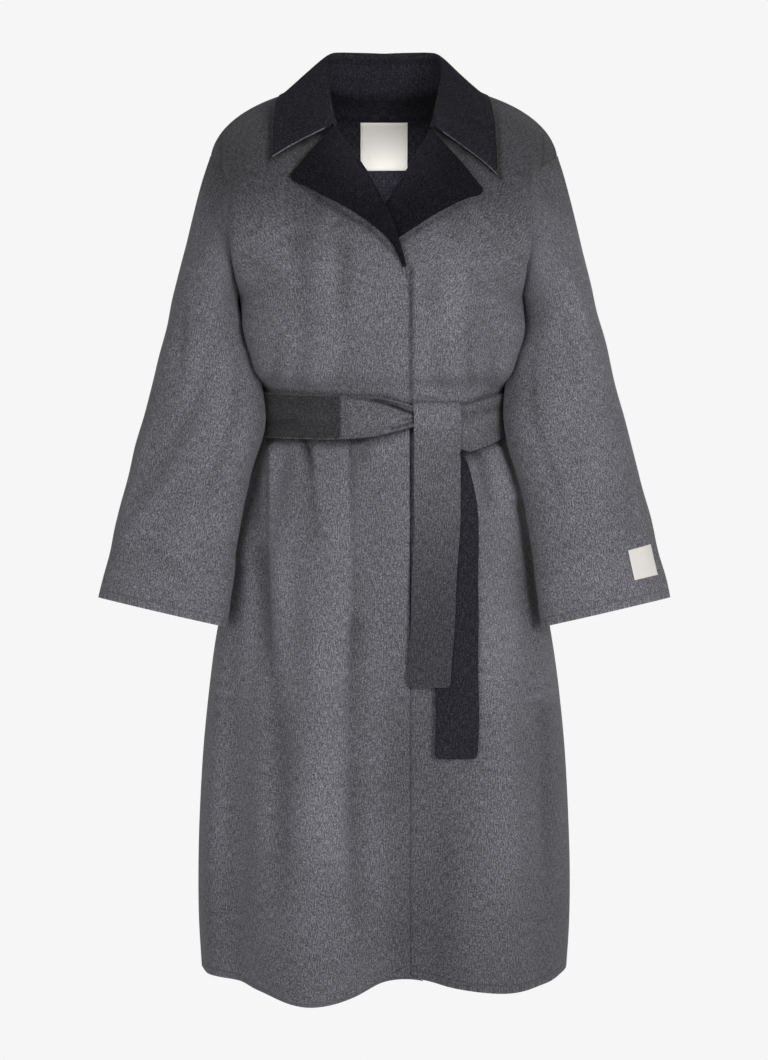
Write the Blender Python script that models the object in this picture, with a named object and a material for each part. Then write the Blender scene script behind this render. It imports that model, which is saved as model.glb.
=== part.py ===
"""A long belted wrap coat of double-faced wool, held up at the neck as if worn, open and hollow inside.

Every piece is one wall of cloth. The two fronts, the back and both sleeves are sampled from one smooth
body form, so their seams run 0.3 mm apart. The lapels, collar, belt, tails and labels are made from
points of that form, moved out. Sizes are in millimetres and the built meshes are in metres.
Front is -Y, up is +Z, and the origin is on the centre line at the top of the shoulders.
"""
import bpy
import numpy as np

MM = 0.001
CLOTH = 2.5  # wall of the doubled wool
BELT_CLOTH = 2.4
LABEL_CLOTH = 0.8
SEAM_GAP = 0.34  # left open between two neighbouring pieces
HEM = -1180.0
UNDERARM = -300.0
TOP_LINE = -50.0  # level name of the shoulder line
FRONT = -1
BACK = 1

# ---------------------------------------------------------------- sizes of the body form
# below the underarm: level, half width at the side seams, reach of the soft corners in front of and
# behind the sleeves, depth to the front and to the back
TRUNK = (
    ("hem", HEM, 241, 241, 160, 166),
    ("hem_band", -1120, 244, 244, 161, 166),
    ("low_skirt", -1000, 243, 243, 160, 164),
    ("skirt", -880, 236, 236, 158, 160),
    ("high_skirt", -760, 222, 222, 152, 152),
    ("hip", -660, 204, 204, 145, 144),
    ("high_hip", -580, 188, 188, 135, 132),
    ("below_belt", -520, 173, 173, 121, 115),
    ("belt_low", -480, 160, 160, 107, 101),
    ("belt", -448, 156, 156, 104, 98),
    ("belt_high", -430, 156, 156, 104, 98),
    ("over_belt", -414, 157, 158, 106, 100),
    ("blouse", -398, 151, 203, 119, 109),
    ("ribs", -370, 157, 214, 127, 117),
    ("low_chest", -335, 166, 220, 132, 124),
    ("underarm", UNDERARM, 184, 198, 135, 128),
)
ROUND = 0.552  # share of a width or depth that makes a quarter of an ellipse
CORNER = 0.20  # more of the depth where the corners reach out

# above the underarm: armhole point, pull of the row beside the armhole, reach of the flat middle,
# and depth and height of the row on the centre line
CHEST_FRONT = (
    (-275, (-184, -30, -294), (-195, -98, -285), -100, (-134, -268)),
    (-245, (-186, -56, -270), (-212, -112, -255), -98, (-131, -232)),
    (-215, (-188, -74, -235), (-222, -121, -212), -95, (-124, -196)),
    (-185, (-189, -76, -199), (-226, -117, -175), -92, (-114, -160)),
    (-155, (-191, -68, -170), (-222, -103, -138), -90, (-102, -128)),
    (-125, (-199, -48, -147), (-218, -77, -104), -88, (-86, -98)),
    (-90, (-213, -25, -129), (-215, -44, -76), -88, (-58, -66)),
    (TOP_LINE, (-222, 0, -118), (-210, 4, -56), -110, (14, -22)),
)
CHEST_BACK = (
    (-275, (-185, 30, -294), (-192, 95, -285), -100, (127, -262)),
    (-245, (-188, 58, -270), (-205, 110, -255), -95, (124, -222)),
    (-215, (-192, 78, -235), (-212, 118, -212), -90, (118, -180)),
    (-185, (-196, 80, -197), (-215, 112, -172), -90, (108, -140)),
    (-155, (-200, 72, -170), (-212, 100, -140), -88, (95, -104)),
    (-125, (-207, 52, -147), (-212, 78, -106), -85, (80, -72)),
    (-90, (-215, 27, -130), (-214, 46, -80), -85, (62, -43)),
    (TOP_LINE, (-222, 0, -118), (-210, 4, -56), -110, (14, -22)),
)
# how much narrower the wearer's left side sits, by level
LEFT_SLIMMER = ((HEM, 0), (-520, 0), (-440, 0), (-400, 1.5), (-300, 7), (-200, 9), (-125, 9), (TOP_LINE, 0))

# large folds: face, place across at top and at hem (-1 side seam, 0 centre, 1 other side seam),
# first and last level, height of the ridge at both (a trough is negative), width across
FOLDS = (
    (FRONT, -0.20, -0.25, -480, HEM, 5, 36, 0.15),
    (FRONT, -0.07, -0.02, -480, HEM, -5, -20, 0.10),
    (FRONT, 0.12, 0.14, -520, HEM, -2, -22, 0.16),
    (FRONT, 0.42, 0.40, -500, HEM, 3, 26, 0.17),
    (FRONT, 0.72, 0.66, -500, HEM, 4, 6, 0.12),
    (FRONT, -0.42, -0.45, -480, HEM, 5, 3, 0.08),
    (FRONT, -0.56, -0.58, -480, HEM, -4, -7, 0.09),
    (FRONT, -0.76, -0.74, -480, HEM, 3, 7, 0.10),
    (BACK, -0.62, -0.55, -480, HEM, 4, 16, 0.13),
    (BACK, -0.30, -0.28, -480, HEM, -4, -12, 0.13),
    (BACK, 0.02, 0.03, -480, HEM, 5, 17, 0.14),
    (BACK, 0.36, 0.33, -480, HEM, -4, -13, 0.13),
    (BACK, 0.60, 0.60, -480, HEM, 4, 15, 0.12),
    (FRONT, -0.30, -0.28, -412, -290, 4, 0, 0.10),
    (FRONT, 0.52, 0.55, -412, -290, -4, 0, 0.10),
    (FRONT, 0.30, 0.36, -412, -290, 4, 0, 0.10),
    (BACK, -0.34, -0.42, -412, -290, 4, 0, 0.12),
    (BACK, 0.36, 0.44, -412, -290, 4, 0, 0.12),
)
# the hem's rise above its level, by place across each face
HEM_RISE_FRONT = (
    *((-1, 4), (-0.85, 6), (-0.7, 8.5), (-0.5, 7.5), (-0.35, 3.5), (-0.18, -2), (-0.1, 3.5)),
    *((0.0, 17), (0.1, 20.5), (0.22, 12.5), (0.35, 7.5), (0.6, 4.2), (0.8, 4.5), (1, 2.5)),
)
HEM_RISE_BACK = ((-1, 4), (0, 6), (1, 2.5))
HEM_RISE_FROM = -940.0

# sleeve rings: outer point, inner point, depth centre at both, half depth
SLEEVE = (
    ("upper_arm", (-268, -290), (-176, -338), -4, -4, 77),
    ("above_elbow", (-284, -352), (-166, -384), -12, -16, 72),
    ("elbow", (-302, -426), (-154, -456), -24, -44, 65),
    ("forearm", (-320, -498), (-170, -526), -36, -58, 58),
    ("mid_forearm", (-336, -561), (-185, -598), -48, -70, 52),
    ("wrist", (-351, -622), (-191, -654), -58, -80, 47),
    ("cuff", (-365, -680), (-199, -716), -66, -86, 43),
)
CUFF_TILT = 5.5  # the cuff is this much higher in front and lower behind
UNDERARM_EASE = 3.0  # more room between sleeve and body under the arm
SHOULDER_FALL = (-0.36, 0.0, -0.93)  # way the sleeve leaves the armhole

# front edges and turned-back rolls, by armhole level: edge x and z (x for the wearer's left is mirrored)
ROLL_RIGHT = (
    (UNDERARM, 32, -300),
    (-275, 29, -276),
    (-245, 19, -228),
    (-215, 3, -187),
    (-185, -15, -152),
    (-155, -35, -122),
    (-125, -57, -92),
    (-90, -72, -62),
    (TOP_LINE, -80, -29),
)
ROLL_LEFT = (
    (UNDERARM, 62, -300),
    (-275, 48, -274),
    (-245, 22, -228),
    (-215, 2, -187),
    (-185, -20, -152),
    (-155, -36, -126),
    (-125, -57, -92),
    (-90, -71, -62),
    (TOP_LINE, -80, -29),
)
# centre back line, then the neck seam out to the shoulder
NECK_BACK = (
    (UNDERARM, 0, -300),
    (-275, 0, -262),
    (-245, 0, -218),
    (-215, 0, -170),
    (-185, 0, -120),
    (-155, 0, -72),
    (-125, 0, -44),
    (-100, -38, -42),
    (-75, -64, -37),
    (TOP_LINE, -80, -29),
)
NECK_CENTRE = -125.0  # armhole level of the row that ends at the centre of the back neck
EDGE_RIGHT = 32.0  # front edges below the break, from the centre line
EDGE_LEFT = 62.0
LAP = 3.8  # how far the left front sinks under the right one
LAP_LOW = 6.0  # more towards the hem
LAP_CHEST = 5.2  # more where the fronts cross on the chest

# lapels: start of the row on the roll, its end on the lapel's outer edge
LAPEL_RIGHT = (
    (-59, -88, -115.6, -147),
    (-52, -96, -113.5, -154),
    (-40, -115, -95, -163),
    (-28, -133, -77, -172),
    (-12, -158, -46, -189),
    (2, -186, -15, -209.5),
    (12, -209, 4, -227),
    (20, -233, 15, -246),
    (26, -257, 23, -263),
)
LAPEL_LEFT = (
    (-57, -92, -122, -164),
    (-51, -100, -121, -171),
    (-42, -116, -106, -176),
    (-31, -134, -92, -181.5),
    (-19, -153, -64, -195),
    (-7, -172, -42, -209.5),
    (3, -189, -19, -224.5),
    (10, -203, -6, -232),
)
LAPEL_LIFT = 0.6  # air under a lapel at its roll
LAPEL_SWELL = 5.0  # more air under its middle

# collar, from the centre back to its front end: place along it, top of the roll, outer edge
COLLAR_RIGHT = (
    (0.00, (0, 72, 18), (0, 92, -64)),
    (0.22, (-44, 60, 18), (-72, 84, -60)),
    (0.42, (-70, 34, 13), (-117, 46, -48)),
    (0.56, (-76, 8, -4), (-134, 2, -40)),
    (0.70, (-71, -20, -33), (-138, -38, -58)),
    (0.85, (-65, -52, -64), (-139, -74, -90)),
    (1.00, (-60, -79, -83), (-138.7, -103, -124)),
)
COLLAR_LEFT = (
    (0.00, (0, 72, 18), (0, 92, -64)),
    (0.22, (-44, 60, 18), (-72, 84, -60)),
    (0.42, (-70, 34, 12), (-117, 46, -48)),
    (0.56, (-75, 8, -8), (-134, 2, -41)),
    (0.70, (-70, -20, -38), (-138, -38, -66)),
    (0.85, (-64, -52, -64), (-139, -76, -104)),
    (1.00, (-59, -79, -86), (-141, -108, -147)),
)
COLLAR_ROLL = 5.5  # half the width of the fold at its top
COLLAR_AIR = 3.4  # outer face of the fall over the body form
COLLAR_FOOT = 2.1  # the collar starts this far above the neck seam

# belt: place around (degrees from the centre front, wearer's right is negative), top and bottom
BELT_BAND = (
    (-319, -434, -493),
    (-304, -426, -485),
    (-285, -421.5, -477),
    (-270, -420, -477),
    (-180, -420, -477),
    (-90, -420, -477),
    (-40, -420.5, -477),
    (-18, -421.5, -476),
    (-2, -424, -471),
    (8, -430, -464),
    (14, -435, -460),
)
BELT_AIR = 1.6
TAIL_AIR = 1.1  # under each hanging end
KNOT = ((14, -435, -460), (20, -435, -470), (30, -435, -484), (41, -434, -493))
TAIL_FRONT = ((-431, 36, 94), (-500, 36, 93), (-599, 36.8, 92), (-700, 33, 88), (-784, 29.2, 82.5))
TAIL_BACK = (
    *((-498, 48, 100), (-525, 55, 108), (-555, 61, 114)),
    *((-600, 64, 117), (-740, 63.5, 117), (-874, 63.4, 117)),
)

LABEL_AIR = 1.0  # under the neck label, half of it under the sleeve one
LABEL_NECK = dict(half_width=31.0, top=-69.0, bottom=-131.0)
LABEL_SLEEVE = dict(turn=(61.0, 35.0), along=(4.84, 5.50))

PALETTE = {
    "coat_cloth": (0.115, 0.118, 0.125),
    "reverse_cloth": (0.020, 0.021, 0.025),
    "label_cloth": (0.78, 0.74, 0.64),
}


# ---------------------------------------------------------------- curves and surfaces
def smooth(knots, values, at):
    """Rows of values passed through smoothly at the knots."""
    knots = np.asarray(knots, float)
    values = np.asarray(values, float).reshape(len(knots), -1)
    at = np.clip(np.atleast_1d(np.asarray(at, float)), knots[0], knots[-1])
    slope = np.gradient(values, knots, axis=0)
    low = np.clip(np.searchsorted(knots, at, side="right") - 1, 0, len(knots) - 2)
    span = (knots[low + 1] - knots[low])[:, None]
    s = (at - knots[low])[:, None] / span
    start = values[low] * (2 * s**3 - 3 * s**2 + 1) + slope[low] * span * (s**3 - 2 * s**2 + s)
    return start + values[low + 1] * (3 * s**2 - 2 * s**3) + slope[low + 1] * span * (s**3 - s**2)


def ease(low, high, at):
    s = np.clip((np.asarray(at, float) - low) / (high - low), 0, 1)
    return s * s * (3 - 2 * s)


def bezier(a, b, c, d, s):
    s = np.asarray(s, float)[:, None]
    return a * (1 - s) ** 3 + b * 3 * s * (1 - s) ** 2 + c * 3 * s * s * (1 - s) + d * s**3


def unit(v):
    return v / np.maximum(np.linalg.norm(v, axis=-1, keepdims=True), 1e-9)


def level_net(face):
    """The four control points of each half row, from the hem up to the shoulder line."""
    rows = []
    for _, z, half, corner, front, back in TRUNK:
        y = face * (front if face == FRONT else back)
        pull = ROUND + CORNER * min(1, (corner - half) / 50)
        rows.append((z, (-half, 0, z, -corner, pull * y, z, -ROUND * half, y, z, 0, y, z)))
    for level, arm, pull, reach, (y, z) in CHEST_FRONT if face == FRONT else CHEST_BACK:
        rows.append((level, arm + pull + (reach, y, z) + (0, y, z)))
    return [r[0] for r in rows], [r[1] for r in rows]


NETS = {FRONT: level_net(FRONT), BACK: level_net(BACK)}


def body(face, across, level):
    """A point of the body form: across runs -1 to 1 from the wearer's right to left side seam."""
    across = np.atleast_1d(np.asarray(across, float))
    level = np.atleast_1d(np.asarray(level, float)) + 0 * across
    across = across + 0 * level
    net = smooth(*NETS[face], level)
    point = bezier(net[:, 0:3], net[:, 3:6], net[:, 6:9], net[:, 9:12], 1 - np.abs(across))
    slim = smooth([r[0] for r in LEFT_SLIMMER], [r[1] for r in LEFT_SLIMMER], level)[:, 0]
    left = across > 0
    point[left, 0] = -point[left, 0] - (slim * ease(0, 0.6, across))[left]
    out = unit(np.stack([point[:, 0], point[:, 1] * 1.6, 0 * level], 1))
    for side, p_top, p_end, first, last, h_top, h_end, width in FOLDS:
        if side != face:
            continue
        s = np.clip((level - first) / (last - first), 0, 1)
        inside = ease(0, 0.04, (level - first) / (last - first))
        if last > first:
            inside = inside * (1 - ease(0.9, 1, s))
        middle = p_top + (p_end - p_top) * s
        height = h_top + (h_end - h_top) * s**1.2
        shape = np.exp(-(((across - middle) / width) ** 2))
        point = point + out * (height * inside * shape * (1 - np.abs(across) ** 6))[:, None]
    rise = HEM_RISE_FRONT if face == FRONT else HEM_RISE_BACK
    lift = smooth([r[0] for r in rise], [r[1] for r in rise], across)[:, 0]
    point[:, 2] += lift * ease(HEM_RISE_FROM, HEM, level)
    return point


def body_out(face, across, level):
    """Outward normal of the body form."""
    step = 0.004
    a = np.clip(across, -1 + step, 1 - step)
    h = np.clip(level, HEM + 1, TOP_LINE - 1)
    du = body(face, a + step, h) - body(face, a - step, h)
    dv = body(face, a, h + 1) - body(face, a, h - 1)
    return unit(np.cross(du, dv) * -face)


def place(face, x, z):
    """Finds across and level where the body form has this x and z."""
    x = np.atleast_1d(np.asarray(x, float))
    z = np.atleast_1d(np.asarray(z, float))
    across = np.clip(x / 230.0, -0.9, 0.9)
    level = np.clip(z - 20 * (z > UNDERARM), HEM, TOP_LINE - 1)
    for _ in range(16):
        now = body(face, across, level)
        right = (body(face, across + 0.002, level) - now) / 0.002
        above = (body(face, across, level - 0.5) - now) / -0.5
        miss_x, miss_z = x - now[:, 0], z - now[:, 2]
        det = right[:, 0] * above[:, 2] - right[:, 2] * above[:, 0]
        det = np.where(np.abs(det) < 1e-6, 1e-6, det)
        across = across + np.clip((miss_x * above[:, 2] - miss_z * above[:, 0]) / det, -0.08, 0.08)
        level = level + np.clip((right[:, 0] * miss_z - right[:, 2] * miss_x) / det, -15, 15)
        across = np.clip(across, -1, 1)
        level = np.clip(level, HEM, TOP_LINE)
    return across, level


# ---------------------------------------------------------------- walls
def wall(name, rows, material, thickness=CLOTH, out=None, seams=(), normals=None):
    """One closed wall of cloth from a grid of outer points: rows x columns x 3.

    seams lists the sides drawn in by half a seam gap: "first", "last" (columns), "bottom", "top" (rows).
    normals gives the outward directions; else they are worked out from the grid.
    """
    grid = np.asarray(rows, float)
    n = grid_normals(grid) if normals is None else np.asarray(normals, float)
    if out is not None and np.mean(np.sum(n * out, axis=-1)) < 0:
        n = -n
    inner = grid - n * thickness
    for face in (grid, inner):
        pull = SEAM_GAP / 2
        if "first" in seams:
            face[:, 0] += unit(face[:, 1] - face[:, 0]) * pull
        if "last" in seams:
            face[:, -1] += unit(face[:, -2] - face[:, -1]) * pull
        if "bottom" in seams:
            face[0] += unit(face[1] - face[0]) * pull
        if "top" in seams:
            face[-1] += unit(face[-2] - face[-1]) * pull
    return solid(name, [(grid, inner)], material)


def grid_normals(grid):
    return unit(np.cross(np.gradient(grid, axis=1), np.gradient(grid, axis=0)))


def solid(name, pairs, material):
    """Closes pairs of outer and inner grids into one body; equal outer points of two grids are joined."""
    points, index = [], {}

    def number(p):
        key = tuple(np.round(p, 3))
        if key not in index:
            index[key] = len(points)
            points.append(p)
        return index[key]

    faces, edges = [], {}
    twin = {}
    for outer, inner in pairs:
        r, c = outer.shape[:2]
        near = [[number(outer[i, j]) for j in range(c)] for i in range(r)]
        far = [[number(inner[i, j]) for j in range(c)] for i in range(r)]
        for i in range(r):
            for j in range(c):
                twin[near[i][j]] = far[i][j]
        for i in range(r - 1):
            for j in range(c - 1):
                loop = [near[i][j], near[i][j + 1], near[i + 1][j + 1], near[i + 1][j]]
                tidy = [v for k, v in enumerate(loop) if v != loop[k - 1]]
                if len(tidy) < 3:
                    continue
                faces.append(tuple(tidy))
                faces.append(tuple(twin[v] for v in reversed(tidy)))
                for k, v in enumerate(tidy):
                    pair = (tidy[k - 1], v)
                    edges[pair] = edges.get(pair, 0) + 1
    for a, b in edges:
        if (b, a) not in edges:
            faces.append((b, a, twin[a], twin[b]))
    mesh = bpy.data.meshes.new(name)
    mesh.from_pydata([tuple(p * MM) for p in points], [], faces)
    mesh.validate()
    thing = bpy.data.objects.new(name, mesh)
    bpy.context.collection.objects.link(thing)
    mesh.materials.append(MATERIALS[material])
    face_outwards(thing)
    return thing


def face_outwards(thing):
    mesh = thing.data
    points = np.array([v.co[:] for v in mesh.vertices])
    volume = 0.0
    for f in mesh.polygons:
        v = points[list(f.vertices)]
        for k in range(1, len(v) - 1):
            volume += np.dot(v[0], np.cross(v[k], v[k + 1]))
    if volume < 0:
        mesh.flip_normals()
    for f in mesh.polygons:
        f.use_smooth = True


def make_materials():
    made = {}
    for name, colour in PALETTE.items():
        m = bpy.data.materials.new(name)
        m.use_nodes = True
        shader = m.node_tree.nodes["Principled BSDF"]
        shader.inputs["Base Color"].default_value = (*colour, 1)
        shader.inputs["Roughness"].default_value = 0.9
        m.diffuse_color = (*colour, 1)
        made[name] = m
    return made


# ---------------------------------------------------------------- levels of the grid
SKIRT_LEVELS = (
    *(HEM, -1130, -1060, -980, -900, -820, -740, -670, -610, -560, -525),
    *(-498, -477, -462, -448, -434, -421, -412, -398, -370, -335),
)
CHEST_LEVELS = (-300, -287, -272, -255, -236, -215, -193, -170, -148, -125, -102, -78, -50)
FRONT_COLUMNS = 17
BACK_COLUMNS = 13


def table(rows, at):
    """The named row values of a table, passed through smoothly at its first column."""
    return smooth([r[0] for r in rows], [r[1:] for r in rows], at)


def under(point, level):
    """How far the wearer's left front sits under the other front."""
    x = point[:, 0]
    lap = LAP * (1 - ease(62, 95, x)) + LAP_LOW * (1 - ease(-10, 25, x)) * ease(-560, -900, level)
    deep = LAP_CHEST * (1 - ease(14, 50, x)) * ease(-302, -268, level)
    return (lap + deep) * (1 - ease(-170, -120, level))


def shoulder_at(x):
    """across of the point of the shoulder line with this x, on the wearer's right."""
    tries = np.linspace(-1, 0, 400)
    line = body(FRONT, tries, np.full(400, TOP_LINE))
    return float(np.interp(x, line[:, 0], tries))


def panel(face, side, roll, edge, columns):
    """Grid of points and outward directions of a panel: rows run from its side or armhole to its edge."""
    s = np.linspace(0, 1, columns)
    start = np.array(SKIRT_LEVELS + CHEST_LEVELS, float)
    ends = np.concatenate([[(edge, z) for z in SKIRT_LEVELS], table(roll, CHEST_LEVELS)])
    if not edge:
        ends[start <= NECK_CENTRE, 0] = 0.0
    end, end_level = place(face, -side * ends[:, 0], ends[:, 1])
    end_level[: len(SKIRT_LEVELS)] = SKIRT_LEVELS
    end[-1], end_level[-1] = -side * shoulder_at(ends[-1, 0]), TOP_LINE
    end[ends[:, 0] == 0] = 0.0
    across = side + (end[:, None] - side) * s
    levels = start[:, None] + (end_level - start)[:, None] * s
    across, levels = np.ravel(across), np.ravel(levels)
    points = body(face, across, levels)
    out = body_out(face, across, levels)
    if face == FRONT and side > 0:
        points = points - out * under(points, levels)[:, None]
    shape = (len(SKIRT_LEVELS) + len(CHEST_LEVELS), columns, 3)
    points, out = points.reshape(shape), out.reshape(shape)
    out[-1] = unit(out[-1] + body_out(-face, across[-columns:], levels[-columns:]))
    low = np.array(SKIRT_LEVELS, float)
    out[: len(low), 0] = unit(out[: len(low), 0] + body_out(-face, side + 0 * low, low))
    return points, out


# ---------------------------------------------------------------- sleeves
def sleeve_ring(side, turn, station):
    """A point of the sleeve below its cap: turn 0 is outermost, 90 the front, 180 next to the body."""
    rows = [(r[1][0], r[3], r[1][1], r[2][0], r[4], r[2][1], r[5]) for r in SLEEVE]
    ring = smooth(range(len(SLEEVE)), rows, station)
    outer, inner, depth = ring[:, 0:3], ring[:, 3:6], ring[:, 6]
    turn = np.radians(np.atleast_1d(turn))
    point = (outer + inner) / 2 + (outer - inner) / 2 * np.cos(turn)[:, None]
    point[:, 1] -= depth * np.sin(turn)
    point[:, 2] += CUFF_TILT * ease(4.2, 6, station) * np.sin(turn)
    point[:, 0] *= -side
    return point


def sleeve(side):
    """Rings of the sleeve from the armhole to the cuff, with their outward directions."""
    down = np.array(CHEST_LEVELS[::-1], float)
    up = down[::-1][1:-1]
    loop = np.concatenate([body(FRONT, side + 0 * down, down), body(BACK, side + 0 * up, up)])
    torso_out = np.concatenate([body_out(FRONT, side + 0 * down, down), body_out(BACK, side + 0 * up, up)])
    turns = np.arange(len(loop)) * 360 / len(loop)
    first = sleeve_ring(side, turns, 0 * turns)
    chord = np.linalg.norm(first - loop, axis=1, keepdims=True)
    leave = unit(np.array(SHOULDER_FALL) * [-side, 1, 1]) * chord
    arrive = unit(sleeve_ring(side, turns, 0 * turns + 0.3) - first) * chord
    rings = []
    for s in (0, 0.12, 0.3, 0.5, 0.75):
        a, b = 2 * s**3 - 3 * s**2 + 1, s**3 - 2 * s**2 + s
        rings.append(loop * a + leave * b + first * (1 - a) + arrive * (s**3 - s**2))
    for s in (0, 0.5, 1, 1.5, 2, 2.5, 3, 3.6, 4.2, 4.8, 5.4, 6):
        rings.append(sleeve_ring(side, turns, 0 * turns + s))
    rings = np.array(rings)
    out = unit(np.cross(np.roll(rings, -1, 1) - np.roll(rings, 1, 1), np.gradient(rings, axis=0)))
    middle = rings.mean(axis=1, keepdims=True)
    if np.mean(np.sum(out * (rings - middle), axis=-1)) < 0:
        out = -out
    along = unit(np.roll(loop, -1, 0) - np.roll(loop, 1, 0))
    away = unit(np.cross(along, torso_out))
    away = away * np.sign(np.sum(away * (loop - loop.mean(axis=0)), axis=1, keepdims=True))
    valley = np.sum(torso_out * out[0], axis=1, keepdims=True) < 0
    meet = np.where(valley, away + unit(rings[1] - rings[0]), torso_out + out[0])
    meet = unit(meet - along * np.sum(meet * along, axis=1, keepdims=True))
    stretch = 1 / np.clip(np.sum(meet * out[0], axis=1), 0.6, 1)
    out[0] = meet * stretch[:, None]
    low = np.clip(-np.cos(np.radians(turns)), 0, 1)[:, None]
    rings[0] += [side * 0.6, 0, -0.2] + low * [side * UNDERARM_EASE, 0, -1]
    return rings, out


def build_coat():
    rings, ring_out = {}, {}
    for side in (-1, 1):
        rings[side], ring_out[side] = sleeve(side)

    def meet_sleeve(face, side, out):
        count = len(CHEST_LEVELS)
        shared = ring_out[side][0]
        rows = shared[:count][::-1] if face == FRONT else shared[np.r_[count - 1 : 2 * count - 2, 0]]
        out[-count:, 0] = rows

    torso = []
    for name, side, roll, edge in (
        ("front_right", -1, ROLL_RIGHT, EDGE_RIGHT),
        ("front_left", 1, ROLL_LEFT, EDGE_LEFT),
    ):
        points, out = panel(FRONT, side, roll, edge, FRONT_COLUMNS)
        torso.append((points.copy(), out.copy()))
        meet_sleeve(FRONT, side, out)
        wall(name, points, "coat_cloth", normals=out, seams=("first", "top"))
    halves = []
    for side in (-1, 1):
        points, out = panel(BACK, side, NECK_BACK, 0, BACK_COLUMNS)
        torso.append((points.copy(), out.copy()))
        meet_sleeve(BACK, side, out)
        inner = points - out * CLOTH
        for grid in (points, inner):
            grid[:, 0] += unit(grid[:, 1] - grid[:, 0]) * SEAM_GAP / 2
            grid[-1] += unit(grid[-2] - grid[-1]) * SEAM_GAP / 2
        halves.append((points[:, ::-side], inner[:, ::-side]))
    solid("back", halves, "coat_cloth")
    for name, side in (("sleeve_right", -1), ("sleeve_left", 1)):
        grid = np.concatenate([rings[side], rings[side][:, :1]], axis=1)
        out = np.concatenate([ring_out[side], ring_out[side][:, :1]], axis=1)
        wall(name, grid, "coat_cloth", normals=out, seams=("bottom",))
    return torso


def clear(points, torso, gap):
    """Moves points out so that they are at least gap outside the panels."""
    near = np.concatenate([p.reshape(-1, 3) for p, _ in torso])
    out = np.concatenate([n.reshape(-1, 3) for _, n in torso])
    shape = points.shape
    points = points.reshape(-1, 3).copy()
    for _ in range(4):
        for k, point in enumerate(points):
            best = np.argsort(np.sum((near - point) ** 2, axis=1))[:4]
            for b in best:
                depth = np.dot(point - near[b], out[b])
                if depth < gap:
                    point = point + out[b] * (gap - depth)
            points[k] = point
    return points.reshape(shape)


# ---------------------------------------------------------------- lapels and collar
def on_front(x, z, lift, side):
    """Points of the front at x and z, moved out by lift."""
    across, level = place(FRONT, x, z)
    point = body(FRONT, across, level)
    out = body_out(FRONT, across, level)
    if side > 0:
        point = point - out * under(point, level)[:, None]
    return point + out * np.reshape(lift, (-1, 1))


def build_lapel(name, side, rows, columns=7, steps=13):
    s = np.linspace(0, 1, columns)
    knots = np.linspace(0, 1, len(rows))
    grid = []
    for row in smooth(knots, rows, np.linspace(0, 1, steps)):
        x = row[0] + (row[2] - row[0]) * s
        z = row[1] + (row[3] - row[1]) * s
        width = np.hypot(row[2] - row[0], row[3] - row[1])
        swell = LAPEL_SWELL * min(1, width / 60) * np.sin(np.pi * s) ** 0.8
        if side > 0:
            swell = swell * ease(10, 50, -x)
        grid.append(on_front(-side * x, z, CLOTH + LAPEL_LIFT + swell, side))
    grid = np.array(grid)
    wall(name, grid, "reverse_cloth", out=np.array([0, -1, 0]))


def neck_seam(side, a):
    """Points of the neck seam and its outward directions, a 0 at the centre back to 1 in front."""
    roll = ROLL_RIGHT if side < 0 else ROLL_LEFT
    rows = [(0.00, BACK, 0, -44), (0.20, BACK, -37, -42.2), (0.36, BACK, -63, -37.5)]
    for place_along, level in ((0.50, TOP_LINE), (0.66, -73), (0.82, -96), (1.00, -120)):
        x, z = table(roll, level)[0]
        rows.append((place_along, FRONT, x, z))
    points, outs = [], []
    for _, face, x, z in rows:
        across, level = place(face, -side * x, z)
        points.append(body(face, across, level)[0])
        outs.append(body_out(face, across, level)[0])
    knots = [r[0] for r in rows]
    return smooth(knots, points, a), unit(smooth(knots, outs, a))


def build_collar(torso):
    half = np.array([0, 0.1, 0.2, 0.3, 0.38, 0.45, 0.52, 0.6, 0.68, 0.76, 0.84, 0.92, 1.0])
    columns = []
    for side, rows in ((-1, COLLAR_RIGHT), (1, COLLAR_LEFT)):
        knots = [r[0] for r in rows]
        top = smooth(knots, [r[1] for r in rows], half) * [-side, 1, 1]
        edge = smooth(knots, [r[2] for r in rows], half) * [-side, 1, 1]
        seam, out = neck_seam(side, half)
        along = unit(np.gradient(seam, axis=0))
        up = unit(np.cross(along, out))
        up = up * np.sign(up[:, 2:3] + 1e-9)
        foot = seam - out * CLOTH + up * (COLLAR_FOOT + 0.4 * ease(0.55, 0.85, half))[:, None]
        if side > 0:
            foot = foot - out * under(seam, seam[:, 2])[:, None]
        away = unit((edge - top) * [1, 1, 0])
        for k in range(len(half)):
            stand = np.linalg.norm(top[k] - foot[k])
            roll = min(COLLAR_ROLL, 2.5 + stand * 0.12)
            bend = np.linalg.norm(edge[k] - top[k]) * 0.4
            lean = away[k] * roll
            rise = bezier(foot[k], foot[k] * 0.5 + top[k] * 0.5, top[k] - lean, top[k], [0, 0.3, 0.6, 0.85])
            mid = edge[k] * 0.6 + top[k] * 0.4 + away[k] * bend * 0.25
            fall = bezier(top[k], top[k] + lean * 2, mid, edge[k], [0, 0.12, 0.28, 0.5, 0.75, 1])
            fall[1:] = clear(fall[1:], torso, CLOTH + COLLAR_AIR)
            columns.append((side * half[k], np.concatenate([rise, fall]), -out[k]))
    centre = next(c for c in columns if c[0] == 0)
    columns = sorted([c for c in columns if c[0] != 0] + [centre], key=lambda c: c[0])
    grid = np.array([c[1] for c in columns])
    out = grid_normals(grid)
    middle = len(grid) // 2
    if out[middle, -2, 1] < 0:
        out = -out
    out[:, 0] = [c[2] for c in columns]
    wall("collar", grid, "reverse_cloth", normals=out)


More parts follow.
